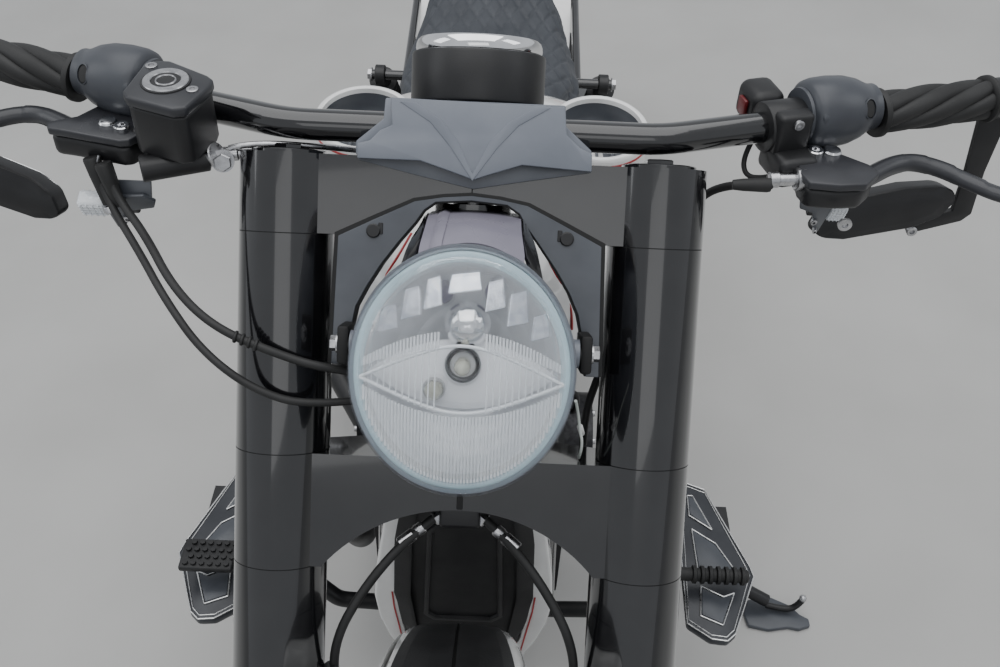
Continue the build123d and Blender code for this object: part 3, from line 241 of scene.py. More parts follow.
SLOT_FINISHES = {"gloss_black": gloss_black, "satin_black": satin_black, "satin_grey": anthracite,
    "white_paint": white_paint, "cast_black": cast_black, "bright_alloy": dark_steel,
    "dark_steel": dark_steel, "steel": steel, "black_rubber": rubber, "tyre": tyre_rubber,
    "seat_leather": seat_leather, "clear_lens": lens_glass, "reflector": mirror_metal,
    "red_lens": red_lens,}
for name, node in nodes.items():
    for place in node.material_slots:
        slot_name = place.material.name.split(".")[0] if place.material else ""
        place.material = SLOT_FINISHES.get(slot_name, satin_black)

# Floor
bpy.ops.mesh.primitive_plane_add(size=30, location=(0, 0, 0))
floor = bpy.context.object
floor.name = "floor"
floor_finish = finish("pale_floor", (0.47, 0.465, 0.45), 0.65)
blend_colours(floor_finish, noise(floor_finish, 3.0, 6.0), (0.45, 0.445, 0.43), (0.49, 0.485, 0.47))
floor.data.materials.append(floor_finish)


# Modelling verbs. Pieces are drawn in millimetres in a place of their own and settled in metres.
MM = Matrix.Scale(0.001, 4)
ON_FORK = FORK @ MM
ON_MACHINE = MACHINE @ MM
FACING_FRONT = spun(90, "X")
SIDES = (-1, 1)

# In millimetres: the axles above the floor, the rear one behind the front one, and the fork's tubes
AXLE_UP = 351.03
REAR_UP = 325.31
WHEELBASE = 1700
TUBE_OUT = 149


def named(name):
    piece = bpy.context.object
    piece.name = name
    piece.data.name = name
    return piece


def open_piece(piece):
    """Edit mode with nothing selected."""
    bpy.ops.object.select_all(action="DESELECT")
    piece.select_set(True)
    bpy.context.view_layer.objects.active = piece
    bpy.ops.object.mode_set(mode="EDIT")
    bpy.ops.mesh.select_all(action="DESELECT")


def close_piece():
    bpy.ops.object.mode_set(mode="OBJECT")


def pick_faces(piece, wanted):
    """Selects the faces whose middle and normal answer to a test."""
    bpy.ops.mesh.select_all(action="DESELECT")
    mesh = bmesh.from_edit_mesh(piece.data)
    for face in mesh.faces:
        if wanted(face.calc_center_median(), face.normal):
            face.select_set(True)
    bmesh.update_edit_mesh(piece.data)


def outward(piece):
    """Merges what touches and turns every face outwards."""
    open_piece(piece)
    bpy.ops.mesh.select_all(action="SELECT")
    bpy.ops.mesh.remove_doubles(threshold=0.0005)
    bpy.ops.mesh.normals_make_consistent(inside=False)
    close_piece()
    return piece


def apply_modifier(piece, kind, **settings):
    bpy.ops.object.select_all(action="DESELECT")
    piece.select_set(True)
    bpy.context.view_layer.objects.active = piece
    modifier = piece.modifiers.new(kind.lower(), kind)
    for key, value in settings.items():
        setattr(modifier, key, value)
    bpy.ops.object.modifier_apply(modifier=modifier.name)
    return piece


def rounded(piece, width, segments=2, angle=30):
    return apply_modifier(piece, "BEVEL", width=width, segments=segments, limit_method="ANGLE",
        angle_limit=radians(angle))


def rings(name, rows, sides=48, shut_start=True, shut_end=True):
    """A round or oval piece, ring by ring. Each row: x, y, z, half width in x and in y."""
    bpy.ops.mesh.primitive_circle_add(vertices=sides, radius=1,
        fill_type="NGON" if shut_start else "NOTHING")
    piece = named(name)
    bpy.ops.object.mode_set(mode="EDIT")
    bpy.ops.mesh.select_all(action="SELECT")
    bpy.ops.transform.resize(value=(rows[0][3], rows[0][4], 1), center_override=(0, 0, 0))
    bpy.ops.transform.translate(value=rows[0][:3])
    for before, row in zip(rows, rows[1:]):
        step = tuple(b - a for a, b in zip(before[:3], row[:3]))
        bpy.ops.mesh.extrude_region_move(TRANSFORM_OT_translate={"value": step})
        bpy.ops.transform.resize(value=(row[3] / before[3], row[4] / before[4], 1),
            center_override=row[:3])
    if shut_start and not shut_end:
        bpy.ops.mesh.delete(type="ONLY_FACE")
    elif shut_end and not shut_start:
        bpy.ops.mesh.edge_face_add()
    close_piece()
    return outward(piece)


def turned(name, rows, sides=40, shut_start=True, shut_end=True):
    """A piece turned about its own upright axis. Each row: height, radius."""
    return rings(name, [(0, 0, height, radius, radius) for height, radius in rows], sides,
        shut_start, shut_end)


def plate(name, outline, thickness, bevel=0.0, segments=2):
    """A flat outline drawn point by point, filled and pulled up by a thickness."""
    bpy.ops.mesh.primitive_plane_add(size=0.01)
    piece = named(name)
    bpy.ops.object.mode_set(mode="EDIT")
    bpy.ops.mesh.select_all(action="SELECT")
    bpy.ops.mesh.merge(type="CENTER")
    bpy.ops.transform.translate(value=(*outline[0], 0))
    for before, point in zip(outline, outline[1:]):
        step = (point[0] - before[0], point[1] - before[1], 0)
        bpy.ops.mesh.extrude_region_move(TRANSFORM_OT_translate={"value": step})
    bpy.ops.mesh.select_all(action="SELECT")
    bpy.ops.mesh.edge_face_add()
    bpy.ops.mesh.extrude_region_move(TRANSFORM_OT_translate={"value": (0, 0, thickness)})
    close_piece()
    outward(piece)
    return rounded(piece, bevel, segments) if bevel else piece


def block(name, size, bevel=1.0, segments=2):
    """A rounded block about its own middle."""
    bpy.ops.mesh.primitive_cube_add(size=1)
    piece = named(name)
    bpy.ops.object.mode_set(mode="EDIT")
    bpy.ops.mesh.select_all(action="SELECT")
    bpy.ops.transform.resize(value=size, center_override=(0, 0, 0))
    bpy.ops.mesh.bevel(offset=bevel, segments=segments, affect="EDGES")
    close_piece()
    return piece


def round_curve(name, points, radius, around, along, order=3):
    """A smooth curve with a round section, drawn by a few points."""
    data = bpy.data.curves.new(name, "CURVE")
    data.dimensions = "3D"
    data.bevel_depth = radius
    data.bevel_resolution = around
    data.resolution_u = along
    data.use_fill_caps = True
    line = data.splines.new("NURBS")
    line.points.add(len(points) - 1)
    for point, place in zip(line.points, points):
        point.co = (*place, 1)
    line.order_u = order
    line.use_endpoint_u = True
    piece = bpy.data.objects.new(name, data)
    bpy.context.scene.collection.objects.link(piece)
    return piece


def tube(name, points, radius, sides=10, order=3):
    """A round curve turned into a mesh."""
    piece = round_curve(name, points, radius, max(sides // 4, 2), 10, order)
    bpy.ops.object.select_all(action="DESELECT")
    piece.select_set(True)
    bpy.context.view_layer.objects.active = piece
    bpy.ops.object.convert(target="MESH")
    return bpy.context.object


def moved(piece, place):
    """Moves a piece's mesh; a mirrored one is turned outwards again."""
    piece.data.transform(place)
    if place.determinant() < 0:
        piece.data.flip_normals()
    return piece


def copied(piece, place=Matrix.Identity(4)):
    """The same piece again, with a mesh of its own."""
    twin = piece.copy()
    twin.data = piece.data.copy()
    bpy.context.scene.collection.objects.link(twin)
    return moved(twin, place)


def repeated(piece, places):
    """A piece modelled once and set down at each place."""
    twins = [copied(piece, place) for place in places]
    bpy.data.objects.remove(piece)
    return twins


def ring_turns(count, axis, shift=0.0):
    """The turns that set equal pieces around an axis."""
    return [Matrix.Rotation(2 * pi * (step + shift) / count, 4, axis) for step in range(count)]


def sided(side):
    """The left side as it is, the right side mirrored."""
    return Matrix.Diagonal((side, 1, 1, 1))


def joined(name, pieces):
    bpy.ops.object.select_all(action="DESELECT")
    for piece in pieces:
        piece.select_set(True)
    bpy.context.view_layer.objects.active = pieces[0]
    bpy.ops.object.join()
    return named(name)


def settle(piece, place, body, material, smooth=35, replaces=()):
    """Puts a finished piece in its place on the machine, with its finish and its body."""
    moved(piece, place)
    piece.data.materials.clear()
    piece.data.materials.append(material)
    bpy.ops.object.select_all(action="DESELECT")
    piece.select_set(True)
    bpy.context.view_layer.objects.active = piece
    bpy.ops.object.shade_smooth_by_angle(angle=radians(smooth))
    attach(piece, body)
    if replaces:
        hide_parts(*replaces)
    return piece


def at(x, y, z):
    return Matrix.Translation((x, y, z))


def facing(direction, place=(0, 0, 0)):
    """A place whose upright axis looks along a direction."""
    turn = Vector(direction).to_track_quat("Z", "Y").to_matrix().to_4x4()
    return Matrix.Translation(place) @ turn


def with_mirror(half):
    """A half outline and its mirror image, in one round."""
    return half + [(-point[0], *point[1:]) for point in reversed(half)]


def grown(outline, amount):
    """The same outline moved in or out about its own middle."""
    middle_x = sum(x for x, y in outline) / len(outline)
    middle_y = sum(y for x, y in outline) / len(outline)
    grown_points = []
    for x, y in outline:
        reach = Vector((x - middle_x, y - middle_y))
        step = reach.normalized() * amount
        grown_points.append((x + step.x, y + step.y))
    return grown_points


def cap_screw(name, radius, height):
    """A socket head screw."""
    return turned(name, [(0, radius), (height * 0.85, radius), (height, radius * 0.86),
            (height, radius * 0.5), (height * 0.4, radius * 0.46), (height * 0.4, 0.05)], 18)


def hex_head(name, radius, height):
    """A six-sided nut or bolt head with its washer."""
    nut = turned(name, [(0, radius * 0.98), (height * 0.9, radius), (height, radius * 0.88)], 6)
    washer = turned(name, [(-height * 0.25, radius * 1.25), (0, radius * 1.25),
            (0.05, radius * 0.9)], 20)
    return joined(name, [nut, washer])


# Riser cap, handlebar fittings and gauge
def riser_cap():
    """The angular cover over the bar: a tall middle, flared ears and a raised V down its front."""
    front = [(-65, 841.5), (69, 839.5), (71.4, 818.8), (81.9, 809.4), (91.6, 805.2), (92, 791.5),
        (38, 794.4), (12, 785.6), (0.6, 781.4), (-12, 785.6), (-41, 794.5), (-89.4, 794.3),
        (-89.7, 805.7), (-79.8, 808.4), (-72.3, 816.3), (-63.2, 820.5)]
    cover = plate("riser_cap_cover", front, 6.6, 1.0, 2)
    moved(cover, at(0, -29.2, 0) @ FACING_FRONT)
    skirt = plate("riser_cap_skirt", [(-89.4, 801), (92, 799), (92, 791), (43.6, 782.5),
            (12, 776.6), (0.9, 774.5), (-12, 777), (-46.6, 784), (-89.4, 793.4)], 5, 0.6, 2)
    moved(skirt, at(0, -24.5, 0) @ FACING_FRONT)
    settle(skirt, ON_FORK, "steering", slate, 25)
    body = plate("riser_cap_body", [(-70, 842), (70, 842), (71, 826), (92, 808), (92, 797.4),
            (-92, 797.4), (-92, 808), (-71, 826)], 50, 1.2, 2)
    moved(body, at(0, 24, 0) @ FACING_FRONT)
    crest = [(-58, 838.5), (-46, 838.5), (-26, 826), (-13, 812), (0, 786), (13, 812), (26, 826),
        (46, 838.5), (58, 838.5), (34, 824), (18, 806), (0, 780.5), (-18, 806), (-34, 824)]
    ridge = plate("riser_cap_ridge", crest, 1.0, 0.6, 3)
    moved(ridge, at(0, -35.4, 0) @ FACING_FRONT)
    settle(joined("riser_cap", [cover, body, ridge]), ON_FORK, "steering", anthracite,
        25, ("riser_cap",))


riser_cap()

GAUGE_PLACE = ON_MACHINE @ facing((0, sin(radians(34)), cos(radians(34))), (0, 526.73, 1012.47))


def gauge():
    """The round instrument can with its polished ring and dark dial."""
    can = turned("gauge_can", [(0, 46), (0, 53), (1.2, 54.6), (3, 55), (38, 55), (39.8, 54.4),
            (40.5, 53)], 72)
    foot = moved(turned("gauge_foot", [(-34, 15), (-30, 16), (0.5, 16)], 32), at(0, 6, 0))
    settle(joined("gauge_can", [can, foot]), GAUGE_PLACE, "steering", satin_black,
        35, ("gauge",))
    ring = turned("gauge_ring", [(40.3, 50), (41.2, 51.4), (43.5, 52), (47, 51.7), (50, 50.6),
            (51.8, 48.4), (51.6, 46.4), (49.5, 45.2), (47.5, 45)], 72, False, False)
    settle(ring, GAUGE_PLACE, "steering", chrome)
    dial = turned("gauge_dial", [(46.4, 45.2), (47.4, 45.1), (47.5, 44), (47.5, 0.1)], 48)
    settle(dial, GAUGE_PLACE, "steering", dial_black)
    marks = []
    for step in range(25):
        turn = spun(-30 + 10 * step, "Z")
        length = 6.0 if step % 4 == 0 else 3.4
        mark = block("gauge_mark", (length, 0.9 if step % 4 else 1.4, 0.3), 0.08, 1)
        marks.append(moved(mark, turn @ at(38 - length / 2, 0, 47.75)))
    needle = plate("gauge_needle", [(-9, -1.6), (30, -0.5), (32, 0), (30, 0.5), (-9, 1.6)], 0.8,
        0.2, 1)
    marks.append(moved(needle, spun(-28, "Z") @ at(0, 0, 48.0)))
    settle(joined("gauge_marks", marks), GAUGE_PLACE, "steering", white_print)
    glass = turned("gauge_glass", [(50.0, 45.6), (50.6, 44), (51.0, 32), (51.3, 0.1)], 48, False)
    settle(glass, GAUGE_PLACE, "steering", clear_glass)


gauge()


# Headlight: X across, Y up, Z forward from the lens's seat
LAMP = ON_FORK @ at(0, -100, 642) @ FACING_FRONT
OVAL = 92 / 83
FLUTES = 29
FLUTE_STEP = 2.42


def oval_rings(name, rows, sides=64, shut_start=True, shut_end=True):
    """An oval piece on the lamp's axis. Each row: forward, half width."""
    return rings(name, [(0, 0, forward, half, half * OVAL) for forward, half in rows], sides,
        shut_start, shut_end)


def dome_forward(x, y):
    """How far forward the inside of the glass is at a place across and up."""
    share = min((x * x + (y / OVAL) ** 2) / (79.0 * 79.0), 1.0)
    return 23.5 - 17.5 * share ** 1.15


def headlight():
    """Clear lens with its thick rim, faceted bowl, bulb shield, bulbs and fluted glass."""
    glass = oval_rings("headlight_lens", [(28.2, 0.1), (27.6, 22), (25.6, 44), (21.6, 62),
            (16.5, 74), (12.2, 80.6), (9.0, 82.6), (6.0, 83), (0.2, 83), (0.2, 80.8), (4.0, 76.5),
            (9.0, 73), (14.5, 66), (19.5, 52), (23.0, 32), (24.6, 0.1)], 96)
    settle(glass, LAMP, "steering", lens_glass, 60, ("headlight_lens",))
    band = oval_rings("headlight_lens_band", [(5.6, 71.4), (6.4, 72.6), (6.4, 76.6), (5.2, 78.4),
            (3.6, 78.4)], 96, False, False)
    settle(band, LAMP, "steering", blue_rim, 60)
    bowl = oval_rings("headlight_bowl", [(4.5, 77.4), (-6, 75), (-16, 70), (-25, 63), (-32.5, 53),
            (-38.5, 41), (-42.5, 28), (-44, 16), (-44, 0.1)], 36, False)
    bowl.data.flip_normals()
    settle(bowl, LAMP, "steering", bowl_silver, 5, ("headlight_reflector",))
    shield = turned("bulb_shield", [(17 * sin(radians(angle)), 17 * cos(radians(angle)) + 0.1)
            for angle in range(-90, 91, 15)], 40)
    moved(shield, at(2.5, 33.5, -6))
    stem = tube("shield_stem", [(2.5, 34, -18), (1, 30, -30), (0, 16, -43)], 2.2)
    settle(joined("bulb_shield", [shield, stem]), LAMP, "steering", chrome, 60)
    collar = turned("bulb_collar", [(-44, 17), (-41.5, 17), (-41, 13.5), (-34, 12.5), (-33.4, 11),
            (-43, 9)], 32)
    moved(collar, at(0, 3, 31))
    settle(collar, LAMP, "steering", dark_steel)
    bulb = turned("headlight_bulb", [(-43, 6), (-26, 6), (-21, 5.2), (-18, 3.2), (-17, 0.1)], 24)
    moved(bulb, at(0, 3, 31))
    parking = turned("parking_bulb", [(-30, 6.6), (-20, 6.6), (-16.4, 5), (-15, 0.1)], 24)
    moved(parking, at(-20.5, -15.5, 20))
    arches = [(t, 26) for t in range(-10, 11)] + [(t, -26) for t in range(9, -10, -1)]
    almond = [(70 * t / 10, -4 + rise * (1 - (t / 10) ** 2)) for t, rise in arches]
    # The almond plate's white is painted reflection: it stands in for the sky's glare inside the
    # lamp
    settle(moved(plate("headlight_almond", almond, 2, 0.5, 2), at(0, 0, -12)), LAMP, "steering",
        painted_glare_white, 30)
    lobes = [moved(turned("bowl_lobe", [(0, 9), (1.4, 8.6), (2, 7)], 24),
            at(x, y, -16) @ Matrix.Diagonal((0.8, 1, 1, 1))) for x, y in ((-16, 56), (21, 57))]
    settle(joined("bowl_lobes", lobes), LAMP, "steering", sheen_grey, 30)
    settle(joined("headlight_bulbs", [bulb, parking]), LAMP, "steering", bulb_glass,
        50)
    ring = turned("parking_collar", [(-32, 8.6), (-24, 8.2), (-22, 7.4), (-22.4, 6.8)], 28, False,
        False)
    moved(ring, at(-20.5, -15.5, 20))
    settle(ring, LAMP, "steering", steel)
    flutes = []
    for step in range(-FLUTES, FLUTES + 1):
        x = step * FLUTE_STEP
        low = -sqrt(max(73.0 ** 2 - x * x, 0)) * OVAL
        top = -30 + 20 * (x / 73) ** 2
        if top - low < 4:
            continue
        line = [(x, low + (top - low) * k / 4, dome_forward(x, low + (top - low) * k / 4))
            for k in range(5)]
        flutes.append(tube("flute", line, 1.05, 6))
        foot = 1 - (x / 76) ** 2
        crown = 27 * foot + 1.5
        floor_line = 19 * foot
        if abs(x) < 15:
            continue
        line = [(x, floor_line, dome_forward(x, floor_line)),
            (x, (floor_line + crown) / 2 + 1, dome_forward(x, crown)),
            (x, crown + 3, dome_forward(x, crown))]
        flutes.append(tube("flute", line, 0.85, 6))
    for step in range(-14, 15):
        x = step * 4.6
        if abs(x) < 14:
            continue
        reach = 1 - (x / 74) ** 2
        line = [(x, -27 * reach - 1, dome_forward(x, -20)), (x, 0, dome_forward(x, 0)),
            (x, 17 * reach + 1, dome_forward(x, 17))]
        flutes.append(tube("flute", line, 0.5, 6))
    for half, lift in ((73, 1), (73, -1)):
        edge = [(-half, -6, dome_forward(half, 0)),
            (-half * 0.55, lift * 15 - 4, dome_forward(40, 14)),
            (0, lift * 27 - 3, dome_forward(0, 24)),
            (half * 0.55, lift * 15 - 4, dome_forward(40, 14)), (half, -6, dome_forward(half, 0))]
        flutes.append(tube("flute", edge, 1.3, 6))
    settle(joined("headlight_flutes", flutes), LAMP, "steering", flute_glass, 60)
    panes = []
    for x0, x1, y0, y1 in ((-62, -47, 26, 44), (-45, -31, 36, 58), (-29, -16, 44, 66),
            (-12, 12, 56, 70), (15, 29, 44, 66), (31, 46, 34, 58), (48, 62, 24, 42)):
        pane = plate("bowl_pane", [(x0, y0), (x1, y0 + 4), (x1 - 2, y1 + 3), (x0 + 2, y1)], 1.0,
            0.4, 1)
        middle_x, middle_y = (x0 + x1) / 2, (y0 + y1) / 2
        tip = spun(-middle_y * 0.22, "X") @ spun(middle_x * 0.24, "Y")
        panes.append(moved(pane, at(middle_x, middle_y, dome_forward(middle_x, middle_y) - 9) @ tip
                @ at(-middle_x, -middle_y, 0)))
    settle(joined("headlight_panes", panes), LAMP, "steering", pane_silver, 20)


headlight()


def lamp_rim():
    rim = rings("lamp_rim", [(0, 0, -4.6, 82.4, 91.4), (0, 0, -4.2, 83, 92),
            (0, 0, -1.6, 83.2, 92.2), (0, 0, -0.9, 82.6, 91.6)], 96, False, False)
    settle(rim, LAMP, "steering", gloss_black, 40)


lamp_rim()


# Clamps and fork covers: seams, caps and screws
def clamp_trim():
    seam = moved(block("clamp_seam", (0.9, 1.2, 20), 0.2, 1), at(0, -26.1, 780))
    notch = moved(block("lower_clamp_notch", (5, 2.2, 20), 0.5, 1), at(0, -26.2, 527))
    cover_ends = []
    for side in SIDES:
        for up, tall in ((557.9, 1.1), (734.1, 1.1), (462.9, 1.3)):
            groove = turned("cover_seam", [(up - 0.2, 38.0), (up + tall, 38.0)], 64, False, False)
            cover_ends.append(moved(groove, at(side * TUBE_OUT, 0, 0)))
    settle(joined("clamp_seams", [seam, notch] + cover_ends), ON_FORK, "steering", seam_and_shadow_black)
    cap = turned("fork_cap", [(796.8, 30), (799.5, 30), (800.4, 28.6), (800.4, 17), (799.0, 16),
            (799.0, 0.1)], 48)
    screw = turned("fork_cap_screw", [(799, 12), (804, 12), (805, 10.8)], 6)
    caps = repeated(joined("fork_cap", [cap, screw]), [at(side * TUBE_OUT, 0, 0) for side in SIDES])
    stem_nut = turned("stem_nut", [(797, 17), (803, 17), (805, 14), (805, 8), (801, 7.6),
            (801, 0.1)], 32)
    caps.append(moved(stem_nut, at(0, 46, 0)))
    settle(joined("fork_caps", caps), ON_FORK, "steering", gloss_black)
    half = ((100, 46, 478), (100, 46, 500), (100, 46, 540), (108, 42, 765))
    spots = [(side * out, back, up) for side in SIDES for out, back, up in half]
    screws = repeated(cap_screw("pinch_screw", 5, 4.5), [facing((0, 1, 0), spot) for spot in spots])
    settle(joined("clamp_screws", screws), ON_FORK, "steering", steel)


clamp_trim()


# Handlebar fittings. Along the bar: X back, Y up, Z outwards from a distance out
BAR_Y = 488.35
BAR_Z = 1010.99
SWEEP = radians(17)
BAR_TURN = Matrix.Rotation(SWEEP, 4, "Z")


def bar_place(side, x):
    """A place on the bar's swept ends; the right side mirrors the left."""
    origin = at(x, BAR_Y + (x - 150) * sin(SWEEP) / cos(SWEEP), BAR_Z)
    turn = Matrix(((-sin(SWEEP), 0, cos(SWEEP), 0), (cos(SWEEP), 0, sin(SWEEP), 0), (0, 1, 0, 0),
            (0, 0, 0, 1)))
    return ON_MACHINE @ sided(side) @ origin @ turn


def grips():
    """Rubber grips whose deep flutes twist along the bar, with a flange at each end."""
    lobes = 6
    outline = []
    for step in range(lobes * 8):
        turn = 2 * pi * step / (lobes * 8)
        reach = 14.6 + 3.2 * abs(cos(turn * lobes / 2)) ** 0.55
        outline.append((reach * cos(turn), reach * sin(turn)))
    grip = plate("grip", outline, 2.0)
    open_piece(grip)
    pick_faces(grip, lambda middle, normal: normal.z > 0.9)
    at_z = 2.0
    for step in range(17):
        scale = 1.006 if step < 8 else 0.994
        bpy.ops.mesh.extrude_region_move(TRANSFORM_OT_translate={"value": (0, 0, 5.9)})
        at_z += 5.9
        bpy.ops.transform.resize(value=(scale, scale, 1), center_override=(0, 0, at_z))
        bpy.ops.transform.rotate(value=radians(8.5), orient_axis="Z", center_override=(0, 0, at_z))
    close_piece()
    outward(grip)
    moved(grip, at(0, 0, 6))
    inner = turned("grip_flange", [(-0.5, 14), (0, 20), (1, 20.6), (4.5, 20.6), (6, 18.8), (7, 16)],
        48)
    outer = turned("grip_end", [(106, 16), (107, 19), (108.2, 20.2), (111, 20.4), (112.6, 19),
            (113.4, 14)], 48)
    grip = joined("grip", [grip, inner, outer])
    for side, name in ((1, "left_grip"), (-1, "right_grip")):
        twin = copied(grip)
        twin.name = name
        settle(twin, bar_place(side, 334), "steering", rubber, 40, ("grips",))
    bpy.data.objects.remove(grip)


grips()


def switch_housings():
    """Round housings beside the grips, each with a parting line and a hooded oval switch."""
    drum = turned("switch_drum", [(-4, 19), (-3.4, 22.5), (-1, 23), (0, 22.4), (1, 25.2), (3.6, 28),
            (9, 29.4), (22, 29.8), (36, 28.6), (47, 25.4), (54, 21.8), (58, 20), (60, 19.4),
            (64.4, 19.2), (65, 17)], 56)
    hood = plate("switch_hood", [(-4, 20), (-20, 19), (-27, 12), (-28, 2), (-25, -6), (-19, -10),
            (-14, 2), (-6, 12)], 22, 2.0, 3)
    moved(hood, at(0, 0, 3))
    heel = moved(block("switch_heel", (22, 17, 40), 4.0, 3), at(15, -17, 30))
    well = rings("switch_well", [(0, 0, 20, 8.6, 5.6), (0, 0, 26.4, 8.6, 5.6),
            (0, 0, 26.8, 7.8, 4.8), (0, 0, 22.0, 7.4, 4.4)], 28)
    in_drum = spun(150, "Z") @ at(0, 0, 47) @ spun(90, "Y") @ spun(90, "Z")
    moved(well, in_drum)
    drum = joined("switch_drum", [drum, hood, heel, well])
    rocker = rings("switch_rocker", [(0, 0, 25.2, 7.2, 4.2), (0, 0, 26.0, 7.0, 4.0),
            (0, 0, 26.2, 5.6, 3.0)], 24)
    moved(rocker, in_drum)
    # The housings take a grey lighter than their satin black, as painted sheen
    looks = ((drum, "switches", drum_painted_sheen, "satin_black", 35, ("switch_housings",)),
        (rocker, "rocker", rubber, "black_rubber", 40, ()))
    for part, kind, material, slot, smooth, replaces in looks:
        for side, twin in zip((1, -1), repeated(part, [at(3, 5, 0)] * 2)):
            twin.name = ("left_" if side > 0 else "right_") + kind
            settle(twin, bar_place(side, 270), "steering", material, smooth, replaces)


switch_housings()


def perches():
    """Lever perches, clamps, pivots, the fluid reservoir and the clutch adjuster."""
    top_outline = {1: [(262, 500), (270, 515), (286, 512), (300, 500), (320, 486), (326, 474),
            (312, 457), (290, 454), (266, 456), (261, 470)],
        -1: [(268, 486), (272, 500), (288, 520), (300, 534), (312, 530), (328, 506), (350, 495),
            (346, 486), (330, 483), (284, 472), (276, 474)]}
    for side, body_name, cover in ((1, "left_perch", "clutch_perch"),
            (-1, "right_perch", "brake_master")):
        top = plate("perch_top", top_outline[side], 7, 1.6, 3)
        moved(top, at(0, 0, BAR_Z - 19.6))
        lower = plate("perch_lower", grown(top_outline[side], -2.0), 19, 5, 3)
        moved(lower, at(0, 0, BAR_Z - 39.5))
        neck = block("perch_neck", (34, 42, 26), 6, 3)
        moved(neck, at(258, BAR_Y + 108 * sin(SWEEP) / cos(SWEEP) - 22, BAR_Z - 22) @ BAR_TURN)
        mirrored = ON_MACHINE @ sided(side)
        settle(joined(body_name, [lower, neck]), mirrored, "steering", satin_black,
            30, (cover,))
        top.name = body_name + "_top"
        settle(top, mirrored, "steering", perch_satin, 30)
        ring = turned("perch_ring", [(0, 17), (0.8, 20.2), (2, 21), (33, 21), (34.4, 20.2),
                (35.4, 17)], 48)
        cap = block("perch_cap", (15, 44, 30), 4, 3)
        moved(cap, at(-17, 0, 17.5))
        ring = joined("perch_ring", [ring, cap])
        ring.name = body_name + "_clamp"
        settle(ring, bar_place(side, 234), "steering", satin_black, 35)
        screws = [moved(cap_screw("perch_screw", 4.4, 3), facing((-1, 0, 0), (-24.4, up, 17.5)))
            for up in (-15, 15)]
        settle(joined(body_name + "_screws", screws), bar_place(side, 234), "steering", steel)
        pin_x, pin_y, bolt_x, bolt_y = (293, 501, 278, 498) if side > 0 else (300, 497, 286, 489)
        pin = turned("perch_pin", [(0, 7.4), (1.6, 7.4), (3.0, 6.4), (3.6, 3.6), (3.7, 0.1)], 28)
        heads = [moved(pin, at(pin_x, pin_y, BAR_Z - 12.7)),
            moved(cap_screw("perch_bolt", 6.6, 4.4), at(bolt_x, bolt_y, BAR_Z - 12.7))]
        settle(joined(body_name + "_pins", heads), mirrored, "steering", chrome)
    lid_outline = [(-267, 460), (-263, 498), (-256, 510), (-243, 510), (-209, 490), (-203, 484),
        (-203, 474), (-214, 441), (-224, 438), (-262, 452)]
    shrunk = [(-238 + (x + 238) * 0.93, 476 + (y - 476) * 0.93) for x, y in lid_outline]
    cup = plate("fluid_cup", shrunk, 42, 3, 3)
    moved(cup, at(0, 0, 999))
    lid = plate("fluid_lid", lid_outline, 9.0, 2.6, 3)
    moved(lid, at(0, 0, 1041.6))
    step_ring = turned("fluid_step", [(1050.2, 19.4), (1051.6, 19), (1051.8, 17.4)], 40)
    moved(step_ring, at(-238, 477, 0))
    barrel = turned("master_barrel", [(0, 9), (1, 10.5), (52, 10.5), (53, 9)], 28)
    moved(barrel, facing((-0.92, -0.38, 0), (-212, 466, 990)))
    settle(joined("fluid_reservoir", [cup, step_ring, barrel]), ON_MACHINE, "steering", satin_black,
        30)
    settle(lid, ON_MACHINE, "steering", perch_satin, 30)
    rings_shown = []
    for radius, inner in ((17.6, 11.4), (8.2, 6.8)):
        loop = turned("sight_ring", [(1051.9, radius), (1052.6, radius - 0.5),
                (1052.6, inner + 0.4), (1051.9, inner)], 40, False, False)
        rings_shown.append(moved(loop, at(-238, 477, 0)))
    rings_shown += [moved(cap_screw("lid_screw", 4.6, 1.6), at(x, y, 1050.4))
        for x, y in ((-215, 466), (-255, 499))]
    settle(joined("reservoir_rings", rings_shown), ON_MACHINE, "steering", steel)
    banjo = [moved(turned("banjo", [(0, 8.6), (1, 9.4), (11, 9.4), (12, 8.6)], 28),
            facing((0.55, -0.2, 0.3), (-214, 468, 990))),
        moved(hex_head("banjo_bolt", 7.4, 7), facing((0.2, -0.9, 0.35), (-200, 462, 990))),
        moved(turned("banjo_hose_end", [(0, 5.2), (3, 6), (14, 6), (15, 4.4), (26, 4)], 20),
            facing((0.8, 0.12, 0.05), (-204, 471, 990)))]
    settle(joined("banjo_fitting", banjo), ON_MACHINE, "steering", steel)
    barrel = [moved(turned("adjuster_wheel", [(0, 8), (1, 9.4), (8, 9.4), (9, 8)], 24),
            facing((-1, -0.1, 0), (268, 474, 989))),
        moved(turned("adjuster_screw", [(8, 5), (22, 5), (23, 6.6), (30, 6.6), (31, 4.6)], 20),
            facing((-1, -0.1, 0), (268, 474, 989)))]
    settle(joined("clutch_adjuster", barrel), ON_MACHINE, "steering", steel)
    washer = turned("perch_washer", [(0, 5.6), (2.4, 5.6), (2.5, 2.6), (0.8, 2.4)], 24)
    settle(moved(washer, facing((0, -1, 0), (296, 438, 973))), ON_MACHINE, "steering", steel)
    starter = block("starter_block", (30, 36, 34), 9, 5)
    moved(starter, at(238, BAR_Y + 91 * sin(SWEEP) / cos(SWEEP) + 34, BAR_Z + 2) @ BAR_TURN)
    settle(starter, ON_MACHINE, "steering", satin_black, 30)
    button = block("red_button", (4, 13, 15), 1.8, 2)
    settle(moved(button, at(222.6, 544, BAR_Z + 2) @ BAR_TURN), ON_MACHINE, "steering", button_red)


perches()


